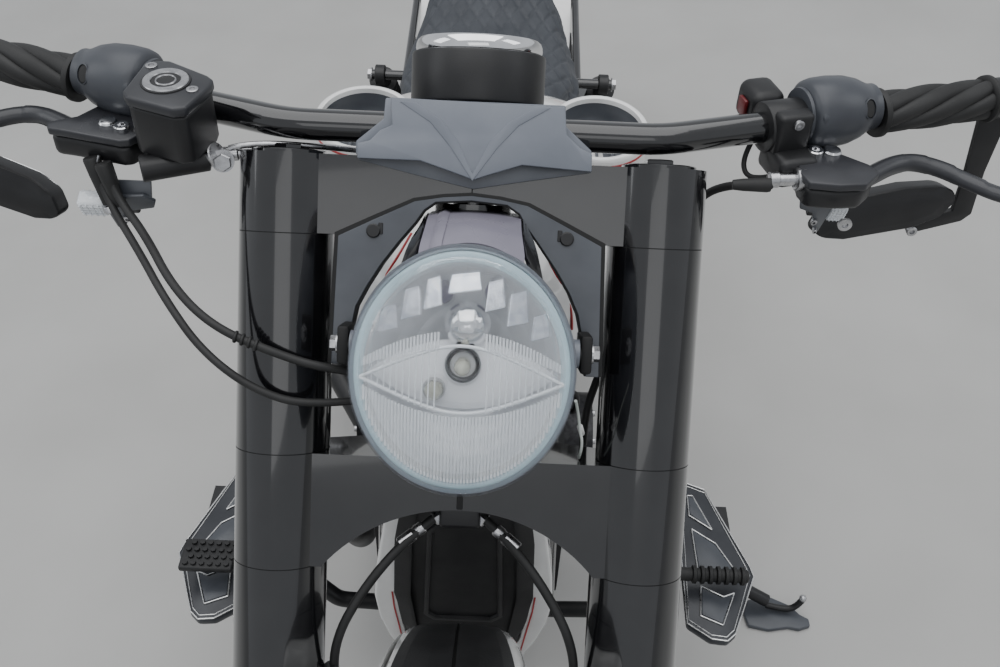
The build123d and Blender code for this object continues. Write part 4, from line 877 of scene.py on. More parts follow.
def hand_levers():
    """Curved blades, deep at the knee, slim in the middle, with a ball end."""
    lines = {1: [(306, 472, 986), (325, 488, 986), (346, 505, 986), (366, 512, 986),
            (388, 504, 985), (408, 489, 983), (430, 474, 981), (460, 466, 979)],
        -1: [(326, 500, 986), (338, 508, 986), (352, 517, 986), (370, 526, 986), (390, 524, 985),
            (410, 514, 983), (432, 502, 981), (460, 494, 979)]}
    depths = [8.5, 8, 8, 7.6, 7, 6.4, 6, 6]
    for side, name in ((1, "left_lever"), (-1, "right_lever")):
        line = lines[side]
        blade = tube(name, line, 7.8, 12)
        for vertex in blade.data.vertices:
            near = min(range(len(line)), key=lambda k: abs(line[k][0] - vertex.co.x))
            vertex.co.z = line[near][2] + (vertex.co.z - line[near][2]) * depths[near] / 7.8
        ball = turned("lever_ball", [(-7, 0.2), (-6.4, 3.4), (-4.4, 6), (0, 7.6), (4.4, 6),
                (6.4, 3.4), (7, 0.2)], 24)
        moved(ball, at(*line[-1]))
        blade = joined(name, [blade, ball])
        settle(blade, ON_MACHINE @ sided(side), "steering", perch_satin, 50,
            ("hand_levers",))


hand_levers()


def loft(name, rows, closed=True):
    """A skin through rows of points, each row with the same number of points."""
    bpy.ops.mesh.primitive_plane_add(size=0.01)
    piece = named(name)
    bpy.ops.object.mode_set(mode="EDIT")
    bpy.ops.mesh.select_all(action="SELECT")
    bpy.ops.mesh.merge(type="CENTER")
    for step in range(1, len(rows[0])):
        bpy.ops.mesh.extrude_region_move(TRANSFORM_OT_translate={"value": (1, 0, 0)})
    mesh = bmesh.from_edit_mesh(piece.data)
    mesh.verts.ensure_lookup_table()
    for vertex, point in zip(mesh.verts, rows[0]):
        vertex.co = point
        vertex.select_set(vertex.index in (0, len(rows[0]) - 1))
    bmesh.update_edit_mesh(piece.data)
    if closed:
        bpy.ops.mesh.edge_face_add()
    bpy.ops.mesh.select_all(action="SELECT")
    line = list(range(len(rows[0])))
    for row in rows[1:]:
        bpy.ops.mesh.extrude_region_move(TRANSFORM_OT_translate={"value": (0, 0, 1)})
        mesh = bmesh.from_edit_mesh(piece.data)
        mesh.verts.ensure_lookup_table()
        fresh = []
        for index in line:
            before = mesh.verts[index]
            fresh.append(next(edge.other_vert(before).index for edge in before.link_edges
                    if edge.other_vert(before).select))
        for index, point in zip(fresh, row):
            mesh.verts[index].co = point
        line = fresh
    bmesh.update_edit_mesh(piece.data)
    if closed:
        bpy.ops.mesh.edge_face_add()
        mesh = bmesh.from_edit_mesh(piece.data)
        mesh.verts.ensure_lookup_table()
        for vertex in mesh.verts:
            vertex.select_set(vertex.index < len(rows[0]))
        mesh.select_flush_mode()
        bmesh.update_edit_mesh(piece.data)
        bpy.ops.mesh.edge_face_add()
    close_piece()
    return outward(piece)


def smoothed(piece, levels=2):
    return apply_modifier(piece, "SUBSURF", levels=levels, render_levels=levels)


def thickened(piece, thickness, offset=-1.0):
    return apply_modifier(piece, "SOLIDIFY", thickness=thickness, offset=offset)


# Front fender: a white shell with a matte black panel down its middle, split by a groove
def arc_rows(section, radius, first, last, steps, taper):
    """Rows around the front wheel. Section: x, height over a radius; angles start at the front."""
    rows = []
    for step in range(steps + 1):
        angle = first + (last - first) * step / steps
        share = taper(angle)
        turn = radians(angle)
        rows.append([(x * share, -(radius + rise) * cos(turn),
                    AXLE_UP + (radius + rise) * sin(turn)) for x, rise in section])
    return rows


def fender_taper(angle):
    """The front fender's share of its width: full over the tyre's top, narrower to its rear tip."""
    return 1.0 - 0.34 * max(0.0, min((angle - 122) / 46, 1)) ** 1.15


def panel_taper(angle):
    """The matte panel narrows faster than the fender, so that more white shows at its tip."""
    return 1.0 - 0.56 * max(0.0, min((angle - 122) / 46, 1)) ** 1.05


def front_fender():
    section = [(-70, -46), (-70, -32), (-69, -22), (-64.5, -11), (-57, -4), (-46, -1), (-30, 0),
        (0, 0.4), (30, 0), (46, -1), (57, -4), (64.5, -11), (69, -22), (70, -32), (70, -46)]
    shell = thickened(loft("front_fender", arc_rows(section, 377.6, 62, 168, 36, fender_taper),
            False), 3.0)
    settle(rounded(shell, 1.0, 2, 50), ON_MACHINE, "steering", white_paint, 40,
        ("front_fender",))
    panels = []
    for side in SIDES:
        half = [(side * 1.6, 0.5), (side * 20, 0.5), (side * 38, -0.2), (side * 49, -1.2),
            (side * 53.5, -2.4)]
        panels.append(rounded(thickened(loft("fender_panel",
                    arc_rows(half, 378.6, 63.5, 166.5, 36, panel_taper), False), 1.2), 0.5, 2, 50))
    settle(joined("fender_panel", panels), ON_MACHINE, "steering", cast_black, 40)
    groove = [(-2.4, 0.3), (0, 0.3), (2.4, 0.3)]
    seam = thickened(loft("fender_groove", arc_rows(groove, 378.4, 63.5, 166.5, 36, panel_taper),
            False), 0.4)
    settle(seam, ON_MACHINE, "steering", seam_and_shadow_black, 40)
    stays = []
    for side in SIDES:
        stays.append(tube("fender_stay", [(side * 71, -12, 352), (side * 92, -8, 300),
                    (side * 98, -8, 235), (side * 99, -8, 150), (side * 125, -8, 70)], 4.6))
        stays.append(moved(cap_screw("stay_screw", 6, 4),
                facing((side, 0, 0), (side * 70, -10, 345))))
        stays.append(moved(hex_head("stay_nut", 7, 5), facing((side, 0, 0), (side * 98, -8, 130))))
    settle(joined("fender_stays", stays), ON_FORK, "steering", satin_black, 40)


front_fender()


# Headlight bracket and the neck between the lamp and the top clamp
def headlight_bracket():
    outer = [(-106, 633), (-103, 734), (-74, 748.6), (-44, 763.2), (-22, 767.2), (0, 769.2),
        (22, 767.2), (44, 763.2), (74, 748.6), (103, 734), (106, 631)]
    inner = [(96, 631), (94.2, 647), (91.6, 662), (87.6, 680), (79.6, 697), (68.4, 714.6),
        (55.6, 732), (43.2, 748), (38, 757), (28, 763.4), (0, 765.6), (-28, 763.4), (-36.6, 757),
        (-43.2, 747), (-55.4, 732), (-68.3, 714.5), (-79.6, 695.8), (-87.9, 679.5), (-91.3, 661),
        (-93.6, 647), (-97, 633)]
    face = plate("bracket_face", outer + inner, 1.4, 0.3, 1)
    moved(face, at(0, -31, 0) @ FACING_FRONT)
    settle(face, ON_FORK, "steering", slate, 25, ("headlight_bracket",))
    # The liner behind the face, the rim strip round it, the lugs and the bosses are near-black:
    # painted shadow along the bracket's edges under the top clamp
    liner_edge = [(x * 0.985, up - 1.2 if abs(x) < 90 else up) for x, up in inner]
    liner = plate("bracket_shadow_liner", outer + liner_edge, 15, 0.3, 1)
    moved(liner, at(0, -15.6, 0) @ FACING_FRONT)
    seam = plate("bracket_shadow_rim", [(x * 1.03, up + 2.6 if up > 700 else up) for x, up in outer]
        + liner_edge, 2.4, 0.2, 1)
    lugs = [liner, moved(seam, at(0, -28.4, 0) @ FACING_FRONT)]
    for side in SIDES:
        lugs.append(moved(block("bracket_lug", (9, 44, 30), 2.5, 2), at(side * 93, -40, 652)))
        lugs.append(moved(turned("bracket_boss", [(0, 9.5), (7, 9.5), (8, 8)], 28),
                facing((side, 0, 0), (side * 83, -52, 652))))
    settle(joined("bracket_shadow_liner", lugs), ON_FORK, "steering", seam_and_shadow_black, 25)
    fixings = []
    for side in SIDES:
        fixings.append(moved(turned("bracket_plug", [(0, 5.6), (1.6, 5.6), (2.4, 4.6)], 24),
                facing((0, -1, 0), (side * 75.5, -32, 739))))
        fixings.append(moved(block("bracket_slot", (3.6, 1.2, 9), 0.4, 1),
                at(side * 70, -32.4, 741)))
    settle(joined("bracket_plugs", fixings), ON_FORK, "steering", satin_black)
    bolts = [moved(hex_head("lamp_bolt", 6.2, 5), facing((side, 0, 0), (side * 99, -52, 652)))
        for side in SIDES]
    settle(joined("headlight_bolts", bolts), ON_FORK, "steering", steel)


headlight_bracket()


def headlight_neck():
    """The crown that climbs from the lamp under the top clamp, pale grey as painted sky reflection
    on the gloss black neck, with black flanks.
    """
    crown_rows = []
    left_rows = []
    for back, half, up, arch, out, down in ((-97, 40, 719, 16, 58, 20), (-84, 38, 733, 10, 55, 19),
            (-66, 36, 744, 6, 52, 18), (-44, 36, 751, 3.5, 48, 17), (-20, 36, 755, 2.5, 44.5, 14),
            (10, 35.5, 757, 2, 44, 13)):
        crown_rows.append([(half * t / 6 + 3, back, up + arch * (1 - (t / 6) ** 2))
                for t in range(-6, 7)])
        left_rows.append([(half + 3.5, back, up - 0.6), (half + 6, back, up - down * 0.22),
                ((half + out) / 2 + 3, back, up - down * 0.55), (out + 2, back, up - down)])
    crown = thickened(smoothed(loft("lamp_crown", crown_rows, False), 1), 2.0)
    settle(crown, ON_FORK, "steering", sheen_grey, 60)
    flank = thickened(smoothed(loft("lamp_flank", left_rows, False), 1), 3.0, 0.0)
    other = copied(flank, at(6, 0, 0) @ sided(-1))
    settle(joined("lamp_flanks", [flank, other]), ON_FORK, "steering", gloss_black,
        60)


headlight_neck()


# Mirrors: a wedge of a head on a flat cranked arm from each bar end
HEAD_EDGE = [(-58, -4), (-52, -13), (-34, -19), (20, -21), (44, -16), (55, -4), (56, 6), (44, 16),
    (14, 21), (-26, 20), (-48, 12)]


def mirrors():
    arm = plate("mirror_arm", [(437, 1001), (463, 1001), (462, 940), (466, 893), (459, 884),
            (413, 866), (408, 877), (447, 895), (445, 934)], 7, 1.4, 2)
    moved(arm, at(0, 578, 0) @ FACING_FRONT)
    clamp = moved(turned("mirror_clamp", [(-13, 15), (-12, 17.5), (10, 17.5), (12, 15)], 36),
        facing((cos(SWEEP), sin(SWEEP), 0), (449, 579, BAR_Z)))
    arm = joined("mirror_arm", [arm, clamp])
    head = plate("mirror_head", HEAD_EDGE, 22, 5, 4)
    open_piece(head)
    pick_faces(head, lambda middle, normal: normal.z > 0.9)
    bpy.ops.transform.resize(value=(0.86, 0.80, 1), center_override=(0, 0, 22))
    close_piece()
    glass = moved(plate("mirror_glass", [(x * 0.92, y * 0.9) for x, y in HEAD_EDGE], 0.8, 0.3, 1),
        at(0, 0, -0.9))
    for side, tilt, place in ((1, -6, (370, 562, 905)), (-1, 12, (-428, 558, 893))):
        longer = 1.22 if side > 0 else 1
        mount = (at(*place) @ spun(side * 14, "Z") @ spun(tilt, "Y") @ spun(74, "X")
            @ sided(side * longer))
        name = "left_mirror" if side > 0 else "right_mirror"
        settle(copied(head), ON_MACHINE @ mount, "steering", satin_black, 30,
            ("mirrors",)).name = name
        settle(copied(glass), ON_MACHINE @ mount, "steering", mirror_metal).name = name + "_glass"
        twin = copied(arm)
        if side < 0:
            moved(twin, at(0, 0, -5))
        settle(twin, ON_MACHINE @ sided(side), "steering", satin_black).name = name + "_arm"
        bolt = moved(cap_screw("mirror_bolt", 5, 4), facing((0, -1, 0.1), (415, 570.5, 872)))
        settle(bolt, ON_MACHINE @ sided(side), "steering", steel).name = name + "_bolt"
    for spare in (arm, head, glass):
        bpy.data.objects.remove(spare)


mirrors()


# Small clear indicators on folded plates under the perches
def bar_indicators():
    sheet = plate("indicator_plate", [(-14, 22), (18, 26), (26, 18), (22, 8), (2, 2), (-6, -14),
            (-14, -30), (-19, -26), (-20, 10)], 3.4, 1.0, 2)
    tab = block("indicator_tab", (30, 14, 3.4), 1, 2)
    moved(tab, at(8, 24, -5) @ spun(-50, "X"))
    sheet = joined("indicator_plate", [sheet, tab])
    shell = moved(block("indicator_shell", (24, 21, 14), 2.6, 2), at(-7, 0, -8))
    ribs = [moved(block("indicator_lens", (24, 19, 15), 3.0, 3), at(-32, 0, -4))]
    ribs += repeated(block("lens_rib", (21, 1.4, 16.4), 0.5, 1),
        [at(-32, -6 + 4 * row, -4) for row in range(4)])
    ribs += repeated(block("lens_rib", (1.4, 17, 16.4), 0.5, 1),
        [at(-40 + 5 * column, 0, -4) for column in range(4)])
    lens = joined("indicator_lens", ribs)
    core = moved(block("indicator_core", (18, 14, 8), 2, 2), at(-30, 0, -5))
    screw = joined("indicator_screw", [moved(cap_screw("indicator_screw", 4, 3), at(-5, -9, 3)),
            moved(cap_screw("indicator_screw", 3, 4), at(-12, -22, 3))])
    for side, name, place in ((1, "left", (282, 475, 957)), (-1, "right", (-289, 475, 929))):
        shorter = 0.62 if side > 0 else 1
        spot = ON_MACHINE @ at(*place) @ FACING_FRONT @ spun(22, "X") @ sided(-side * shorter)
        for part, material, slot in ((sheet, slate, "satin_black"),
                (shell, satin_black, "satin_black"), (lens, flute_glass, "clear_lens"),
                (core, pane_silver, "reflector"), (screw, steel, "steel")):
            label = name + "_" + part.name.split(".")[0]
            replaces = ("bar_indicators",) if part is sheet else ()
            settle(copied(part), spot, "steering", material, 30, replaces).name = label
    for spare in (sheet, shell, lens, core, screw):
        bpy.data.objects.remove(spare)


bar_indicators()


# Radiator between the cradle tubes: black centre with a recess, white side covers with a red line
def radiator():
    outline = with_mirror([(58, 655), (72, 540), (76, 440), (66, 335)])
    cover = plate("radiator_cover", outline, 14, 5, 3)
    open_piece(cover)
    pick_faces(cover, lambda middle, normal: normal.z > 0.95)
    bpy.ops.mesh.inset(thickness=14, depth=0)
    bpy.ops.mesh.inset(thickness=3, depth=-2)
    close_piece()
    window = plate("radiator_window", [(40, 560), (46, 400), (34, 388), (-34, 388), (-46, 400),
            (-40, 560), (-30, 572), (30, 572)], 5, 1.5, 2)
    open_piece(window)
    pick_faces(window, lambda middle, normal: normal.z > 0.95)
    bpy.ops.mesh.inset(thickness=4, depth=0)
    bpy.ops.mesh.inset(thickness=1, depth=-3.6)
    close_piece()
    moved(window, at(0, 0, 11))
    cover = joined("radiator_cover", [cover, window])
    settle(cover, ON_MACHINE @ at(0, 440, 0) @ FACING_FRONT, "frame", cast_black, 30)
    side_outline = [(56, 655), (62, 668), (80, 664), (87, 560), (98, 480), (102, 430), (98, 385),
        (88, 345), (74, 308), (58, 318), (68, 350), (72, 400), (72, 470), (68, 540)]
    panel = plate("radiator_side", side_outline, 30, 4, 3)
    sides = repeated(panel, [at(0, 457, 0) @ FACING_FRONT @ sided(side) for side in SIDES])
    stripe = plate("radiator_line", [(80, 441), (82, 441), (80.6, 410), (76.6, 375), (70.4, 318),
            (68.8, 318.6), (74.8, 376), (78.8, 411)], 0.8, 0.2, 1)
    lines = repeated(stripe, [at(0, 426.6, 0) @ FACING_FRONT @ sided(side) for side in SIDES])
    settle(joined("radiator_sides", sides), ON_MACHINE, "frame", white_paint, 35,
        ("radiator_side_covers",))
    settle(joined("radiator_lines", lines), ON_MACHINE, "frame", red_print)


radiator()


# Tank and its two scoops
def tank():
    rows = []
    for y, wide, top_half, low, widest, top in ((470, 60, 40, 716, 770, 824),
            (486, 84, 60, 702, 770, 836), (520, 120, 88, 692, 770, 848),
            (560, 146, 98, 688, 770, 857), (630, 168, 112, 676, 770, 872),
            (700, 178, 118, 672, 770, 883), (770, 178, 112, 668, 764, 879),
            (830, 170, 102, 665, 752, 856), (880, 160, 92, 664, 740, 822),
            (945, 136, 76, 664, 720, 784), (1000, 112, 62, 664, 700, 748),
            (1012, 90, 50, 672, 700, 736)):
        half = [(wide * 0.45, low), (wide * 0.82, low + (widest - low) * 0.10),
            (wide * 0.97, low + (widest - low) * 0.48), (wide, widest),
            ((wide * 3 + top_half) / 4, widest + (top - widest) * 0.42),
            ((wide + top_half * 1.6) / 2.6, widest + (top - widest) * 0.76),
            (top_half * 0.78, top - (top - widest) * 0.03), (top_half * 0.28, top)]
        rows.append(with_mirror([(x, y, z) for x, z in half]))
    shell = smoothed(loft("tank", rows), 2)
    settle(shell, ON_MACHINE, "frame", white_paint, 60, ("tank_cover",))
    rim = turned("scoop_rim", [(-66, 48), (-24, 52.6), (-9, 53.6), (-3, 53.2), (0.4, 51),
            (1.2, 48.4), (0, 46.2), (-4, 45.4), (-14, 45)], 72, False, False)
    dish = turned("scoop_dish", [(-5, 45.3), (-20, 43.5), (-29, 36), (-33, 22), (-34, 0.1)], 72,
        False)
    dish.data.flip_normals()
    bars = [moved(block("scoop_bar", (3, 78 - abs(x), 5), 1, 2), at(x, 0, -27))
        for x in (-16, 0, 16)]
    dish = joined("scoop_dish", [dish] + bars)
    line = turned("scoop_line", [(-8.6, 53.5), (-8.4, 54.1), (-6.2, 54.0), (-6.0, 53.4)], 72, False,
        False)
    spots = [at(side * 121, 700, 890) @ spun(8, "X") for side in SIDES]
    for part, name, material, slot, smooth in ((rim, "scoop_rims", white_paint, "white_paint", 50),
            (dish, "scoop_dishes", slate, "satin_grey", 40),
            (line, "scoop_lines", red_print, "red_lens", 50)):
        settle(joined(name, repeated(part, spots)), ON_MACHINE, "frame", material, smooth)
    cap = turned("fuel_cap", [(0, 30), (5, 30), (8, 27), (9, 20), (13, 8), (13, 0.1)], 40)
    settle(moved(cap, at(0, 760, 878)), ON_MACHINE, "frame", gloss_black)


tank()


# Footboards: black plates with milled silver edges, sunk pads and rounded undersides
BOARD = [(284, 668), (294, 678), (318, 668), (363, 545), (366, 530), (330, 446), (319, 436),
    (300, 438), (272, 458), (274, 558)]
BOARD_PADS = [[(293, 655), (300, 655), (320, 600), (292, 622)],
    [(293, 600), (322, 578), (340, 541), (332, 520), (294, 536)],
    [(295, 512), (322, 498), (336, 504), (316, 458), (290, 470)]]


def footboards():
    board = plate("footboard", BOARD, 12, 3.5, 3)
    sole = plate("footboard_sole", grown(BOARD, -5), 10, 4, 3)
    moved(sole, at(0, 0, -9))
    board = joined("footboard", [board, sole])
    trims = []
    frames = ([(grown(BOARD, -1.2), 12.4, 1.0), (grown(BOARD, -6.5), 12.2, 0.7)]
        + [(pad, 13.0, 1.1) for pad in BOARD_PADS])
    for outline, height, radius in frames:
        line = [(x, y, height) for x, y in outline]
        for start, end in zip(line, line[1:] + line[:1]):
            trims.append(tube("board_trim", [start, end], radius, 6, 2))
    pads = [moved(plate("board_pad", grown(pad, -2.5), 2.4, 0.8, 2), at(0, 0, 11.4))
        for pad in BOARD_PADS]
    trim = joined("board_trims", trims)
    pad = joined("board_pads", pads)
    for side, name in ((1, "left"), (-1, "right")):
        spot = ON_MACHINE @ sided(side) @ at(0, 0, 335.6)
        # The boards take a grey lighter than their satin black, as painted sheen
        for part, material, slot in ((board, board_painted_sheen, "satin_black"),
                (trim, alloy, "bright_alloy"), (pad, slate, "satin_black")):
            label = name + "_" + part.name.split(".")[0]
            replaces = ("footboards",) if part is board else ()
            settle(copied(part), spot, "frame", material, 30, replaces).name = label
    for spare in (board, trim, pad):
        bpy.data.objects.remove(spare)


footboards()


def foot_controls():
    """Ribbed shift peg on the left, a hex-ribbed brake pedal on the right, each on its own arm."""
    peg = [moved(turned("peg_core", [(0, 7.5), (1, 8.4), (86, 8.4), (88, 6)], 28),
            facing((1, 0, 0), (262, 512, 374)))]
    rib = turned("peg_rib", [(0, 8.2), (1.4, 11.2), (5.2, 11.2), (6.6, 8.2)], 28)
    peg += repeated(rib, [facing((1, 0, 0), (279 + 10 * step, 512, 374)) for step in range(7)])
    settle(joined("shift_peg", peg), ON_MACHINE, "frame", rubber, 35,
        ("foot_controls",))
    arms = [tube("shift_arm", [(258, 655, 300), (256, 600, 330), (254, 545, 358), (254, 512, 374)],
            6), tube("brake_arm", [(-258, 655, 300), (-258, 600, 332), (-262, 550, 362),
                (-276, 512, 376)], 7)]
    pivot = turned("lever_pivot", [(0, 14), (2, 15), (18, 15), (20, 13)], 32)
    arms += repeated(pivot, [facing((side, 0, 0), (side * 248, 655, 300)) for side in (1, -1)])
    settle(joined("foot_levers", arms), ON_MACHINE, "frame", satin_black, 40)
    pedal = [moved(block("brake_pedal", (66, 44, 9), 3, 3), at(-316, 505, 381))]
    cleat = turned("pedal_cleat", [(0, 3.6), (3.2, 3.2), (3.4, 0.1)], 6)
    pedal += repeated(cleat, [at(-341 + column * 10 + (row % 2) * 5, 490 + row * 10, 385)
            for row in range(4) for column in range(6)])
    settle(joined("brake_pedal", pedal), ON_MACHINE, "frame", cast_black, 30)


foot_controls()


def side_stand():
    """A round leg, its hinge eye, and a flat foot on the floor with a curled tang."""
    leg = tube("stand_leg", [(168, 744, 184), (250, 729, 156), (390, 695, 103), (462, 674, 74)], 10,
        16)
    tang = tube("stand_tang", [(462, 672, 66), (490, 664, 66), (508, 666, 74), (514, 670, 86)], 5,
        12)
    eye = moved(turned("stand_eye", [(-11, 8.6), (-11, 15), (-10, 16), (10, 16), (11, 15),
                (11, 8.6)], 36, False, False), facing((0.4386476, -0.0574503, 0.8968209),
            (165, 745, 185)))
    settle(joined("side_stand", [leg, tang, eye]), ON_MACHINE, "side_stand", satin_black,
        40, ("side_stand",))
    foot = plate("stand_foot", [(436, 642), (432, 664), (442, 688), (478, 692), (506, 676),
            (518, 660), (530, 652), (530, 640), (512, 634), (496, 638), (466, 634)], 8, 2.4, 3)
    settle(foot, Matrix.Translation(MIDDLE) @ MM, "side_stand", slate, 40)
    ball = turned("stand_ball", [(-6, 0.2), (-5.2, 3), (-3, 5.2), (0, 6), (3, 5.2), (5.2, 3),
            (6, 0.2)], 24)
    settle(moved(ball, at(514, 670, 90)), ON_MACHINE, "side_stand", steel, 60)


side_stand()


# Cables, hoses and their fittings. The routes are the CAD's, in millimetres, smoothed
def from_fork(x, back, up):
    """A place on the fork as the machine sees it."""
    s = sin(radians(FORK_ANGLE))
    c = cos(radians(FORK_ANGLE))
    return (x, up * s + back * c, AXLE_UP + up * c - back * s)


def held_cable(name, points, radius, material, replaces=()):
    """A cable kept as a smooth curve through its route, held all the way."""
    route = [ON_MACHINE @ Vector(place) for place in points]
    piece = round_curve(name, route, radius * 0.001, 4, 12)
    piece.data.materials.append(material)
    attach(piece, "steering")
    if replaces:
        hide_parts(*replaces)


def cables():
    held_cable("throttle_cable", [(-300, 468.35, 978.7), (-292, 460.35, 951),
            from_fork(-262, -8, 728), from_fork(-232, -32, 688), from_fork(-196, -47, 660),
            from_fork(-152, -48, 643), from_fork(-108, -46, 630), from_fork(-72, -30, 626)], 3.5,
        rubber, ("bar_cables",))
    held_cable("return_cable", [(-312, 476.35, 978.7), (-304, 466.35, 945),
            from_fork(-266, -10, 714), from_fork(-237, -34, 678), from_fork(-204, -47, 640),
            from_fork(-164, -48, 612), from_fork(-120, -46, 600), from_fork(-74, -32, 606)], 3.2,
        rubber)
    held_cable("brake_line", [from_fork(-195.5, -6, 799), from_fork(-178, -8, 804.3),
            from_fork(-122, 6, 804.3), from_fork(-100, 34, 804)], 2.5, steel)
    held_cable("clutch_cable", [(239.3, 463.85, 988.99), from_fork(212, 14, 790),
            from_fork(190, 44, 778), from_fork(174, 58, 744), from_fork(158, 57, 712),
            from_fork(134, 51, 672), from_fork(114, 48, 620), from_fork(104, 48, 585),
            from_fork(104, 48, 558.3)], 3.5, rubber)
    for side, name in ((1, "left_hose"), (-1, "right_hose")):
        held_cable(name, [from_fork(side * x, back, up)
                for x, back, up in ((12, 4, 508), (40, -8, 489), (76, -18, 446), (101, -14, 396),
                    (103, 14, 340), (100, 50, 280), (92, 84, 220), (88, 112, 168))], 4, rubber,
            ("brake_hoses",) if side > 0 else ())
    split = moved(block("hose_block", (34, 22, 24), 3, 3), at(0, 4, 507))
    settle(split, ON_FORK, "steering", satin_black)
    fittings = []
    for side in SIDES:
        crimp = turned("hose_crimp", [(0, 4.4), (1, 5.4), (7, 5.4), (8, 4.8), (10, 4.8), (11, 5.6),
                (24, 5.6), (25, 4.6)], 24)
        fittings.append(moved(crimp, facing((side * 0.80, -0.20, -0.62), (side * 30, -2.5, 494.5))))
        fittings.append(moved(hex_head("hose_nut", 6.6, 7),
                facing((side * 0.8, -0.30, -0.5), (side * 16, 2, 503.5))))
        fittings.append(moved(turned("hose_end", [(0, 6), (16, 6), (17, 7), (24, 7), (25, 5)], 20),
                facing((0, -0.42, 0.9), (side * 87.6, 116, 150))))
    settle(joined("hose_fittings", fittings), ON_FORK, "steering", steel)
    clip = turned("hose_clip", [(-5, 5.4), (-4, 6.6), (4, 6.6), (5, 5.4)], 20)
    clips = repeated(clip, [facing((0.1 * side, -0.2, 1), (side * 104, -2, 366)) for side in SIDES])
    settle(joined("hose_clips", clips), ON_FORK, "steering", satin_black)
    boots = []
    for top, down in (((-300, 468.35, 978.7), (-291, 459, 944)),
            ((-312, 476.35, 978.7), (-303, 465, 941))):
        run = Vector(down) - Vector(top)
        boot = turned("cable_boot", [(0, 6.6), (2, 7.2), (14, 6.6), (28, 5.4), (run.length, 4.4)],
            20)
        boots.append(moved(boot, facing(run, top)))
    settle(joined("cable_boots", boots), ON_MACHINE, "steering", rubber, 50)
    ferrule = turned("cable_ferrule", [(0, 4.6), (1, 5.2), (5, 5.2), (6, 4.2)], 20)
    settle(moved(ferrule, facing((0.32, -0.32, -1), (-302.4, 463, 940))), ON_MACHINE, "steering",
        steel)
    clutch_boot = turned("clutch_boot", [(0, 5.4), (3, 6), (22, 5), (30, 4)], 20)
    settle(moved(clutch_boot, facing((-1, 0.02, -0.06), (238, 463.8, 989))), ON_MACHINE, "steering",
        rubber, 50)
    band = turned("cable_wrap", [(-1.2, 4.4), (-0.6, 5.0), (0.6, 5.0), (1.2, 4.4)], 18)
    wraps = repeated(band, [facing((0.97, 0.06, -0.25), (-178 + 5.4 * step, -48, 653 - 1.9 * step))
            for step in range(4)])
    settle(joined("cable_wrap", wraps), ON_FORK, "steering", rubber, 50)
    held_cable("lamp_wire", [from_fork(86, -70, 618), from_fork(90, -50, 606),
            from_fork(93, -36, 590), from_fork(97, -30, 575), from_fork(96, -10, 560)], 1.2,
        white_wire)
    bullet = turned("wire_bullet", [(0, 1.6), (1, 2.4), (15, 2.4), (16, 1.6)], 16)
    settle(moved(bullet, facing((0.2, 0.3, -0.9), from_fork(93, -36, 592))), ON_MACHINE, "steering",
        white_print, 50)
    held_cable("indicator_wire", [(-304, 474, 982), (-309, 470, 972), (-304, 468, 962),
            (-298, 470, 954)], 1.1, steel)
    held_cable("switch_wire", [(232, 520, 998), (224, 512, 984), (226, 500, 972), (240, 492, 976),
            (246, 486, 984)], 2.2, rubber)


cables()


# Tyres with a cut tread, wheels' trims, discs and calipers
ON_AXLE = spun(90, "Y")


def tyre(name, wheel_radius, wide, crown, bead, rim_half, columns, pitch, cut):
    """A tyre: bead, walls and crown turned about the axle, its tread cut block by block."""
    half = wide / 2
    rows = [(-rim_half + 4, bead), (-rim_half - 3, bead + 4),
        (-half + 8, bead + (wheel_radius - bead) * 0.22),
        (-half + 0.6, bead + (wheel_radius - bead) * 0.52)]
    for step in range(columns + 1):
        x = -half * 0.965 + wide * 0.965 * step / columns
        rows.append((x, wheel_radius - 0.6 - (crown - sqrt(max(crown * crown - x * x, 0)))
                if crown > abs(x) else wheel_radius - crown))
    rows += [(half - 0.6, bead + (wheel_radius - bead) * 0.52),
        (half - 8, bead + (wheel_radius - bead) * 0.22), (rim_half + 3, bead + 4),
        (rim_half - 4, bead)]
    piece = rings(name, [(0, 0, x, reach, reach) for x, reach in rows], pitch, False, False)
    open_piece(piece)
    low = wheel_radius - crown + sqrt(max(crown * crown - (half * 0.90) ** 2, 0))

    def grooved(middle, normal):
        reach = sqrt(middle.x ** 2 + middle.y ** 2)
        if reach < low - 6:
            return False
        sector = int(round((pi + math_angle(middle)) / (2 * pi) * pitch - 0.5))
        column = int((middle.z + half) / wide * columns)
        return (sector + column * 2) % 6 == 0 or (columns // 2 == column and sector % 2 == 0)

    pick_faces(piece, grooved)
    bpy.ops.mesh.inset(thickness=0.6, depth=-cut, use_individual=True)
    close_piece()
    return moved(piece, ON_AXLE)


def math_angle(place):
    return Vector((1, 0)).angle_signed(Vector((place.x, place.y)), 0.0)


def wheel_trim(name, rim_reach, half, hub_reach, hub_half, centre):
    """A wheel's polished rim lips, hub bolts and valve."""
    lip = turned("rim_lip", [(half - 5, rim_reach - 9), (half - 1, rim_reach - 5),
            (half + 1.4, rim_reach + 1), (half + 0.4, rim_reach + 3.4),
            (half - 3, rim_reach + 2.4)], 96, False, False)
    lips = repeated(lip, [spun(90 * side, "Y") for side in SIDES])
    settle(joined(name + "_lips", lips), ON_MACHINE @ at(*centre), name, alloy, 50)
    bolt_places = [turn @ facing((side, 0, 0), (side * hub_half, 0, hub_reach)) for side in SIDES
        for turn in ring_turns(6, "X")]
    bits = repeated(cap_screw("hub_bolt", 5.4, 5), bolt_places)
    valve = turned("valve", [(0, 4), (10, 3.4), (12, 3.8), (26, 3.8), (27, 3)], 16)
    bits.append(moved(valve, at(20, 0, rim_reach - 40) @ spun(180, "X")))
    settle(joined(name + "_bolts", bits), ON_MACHINE @ at(*centre), name, steel)


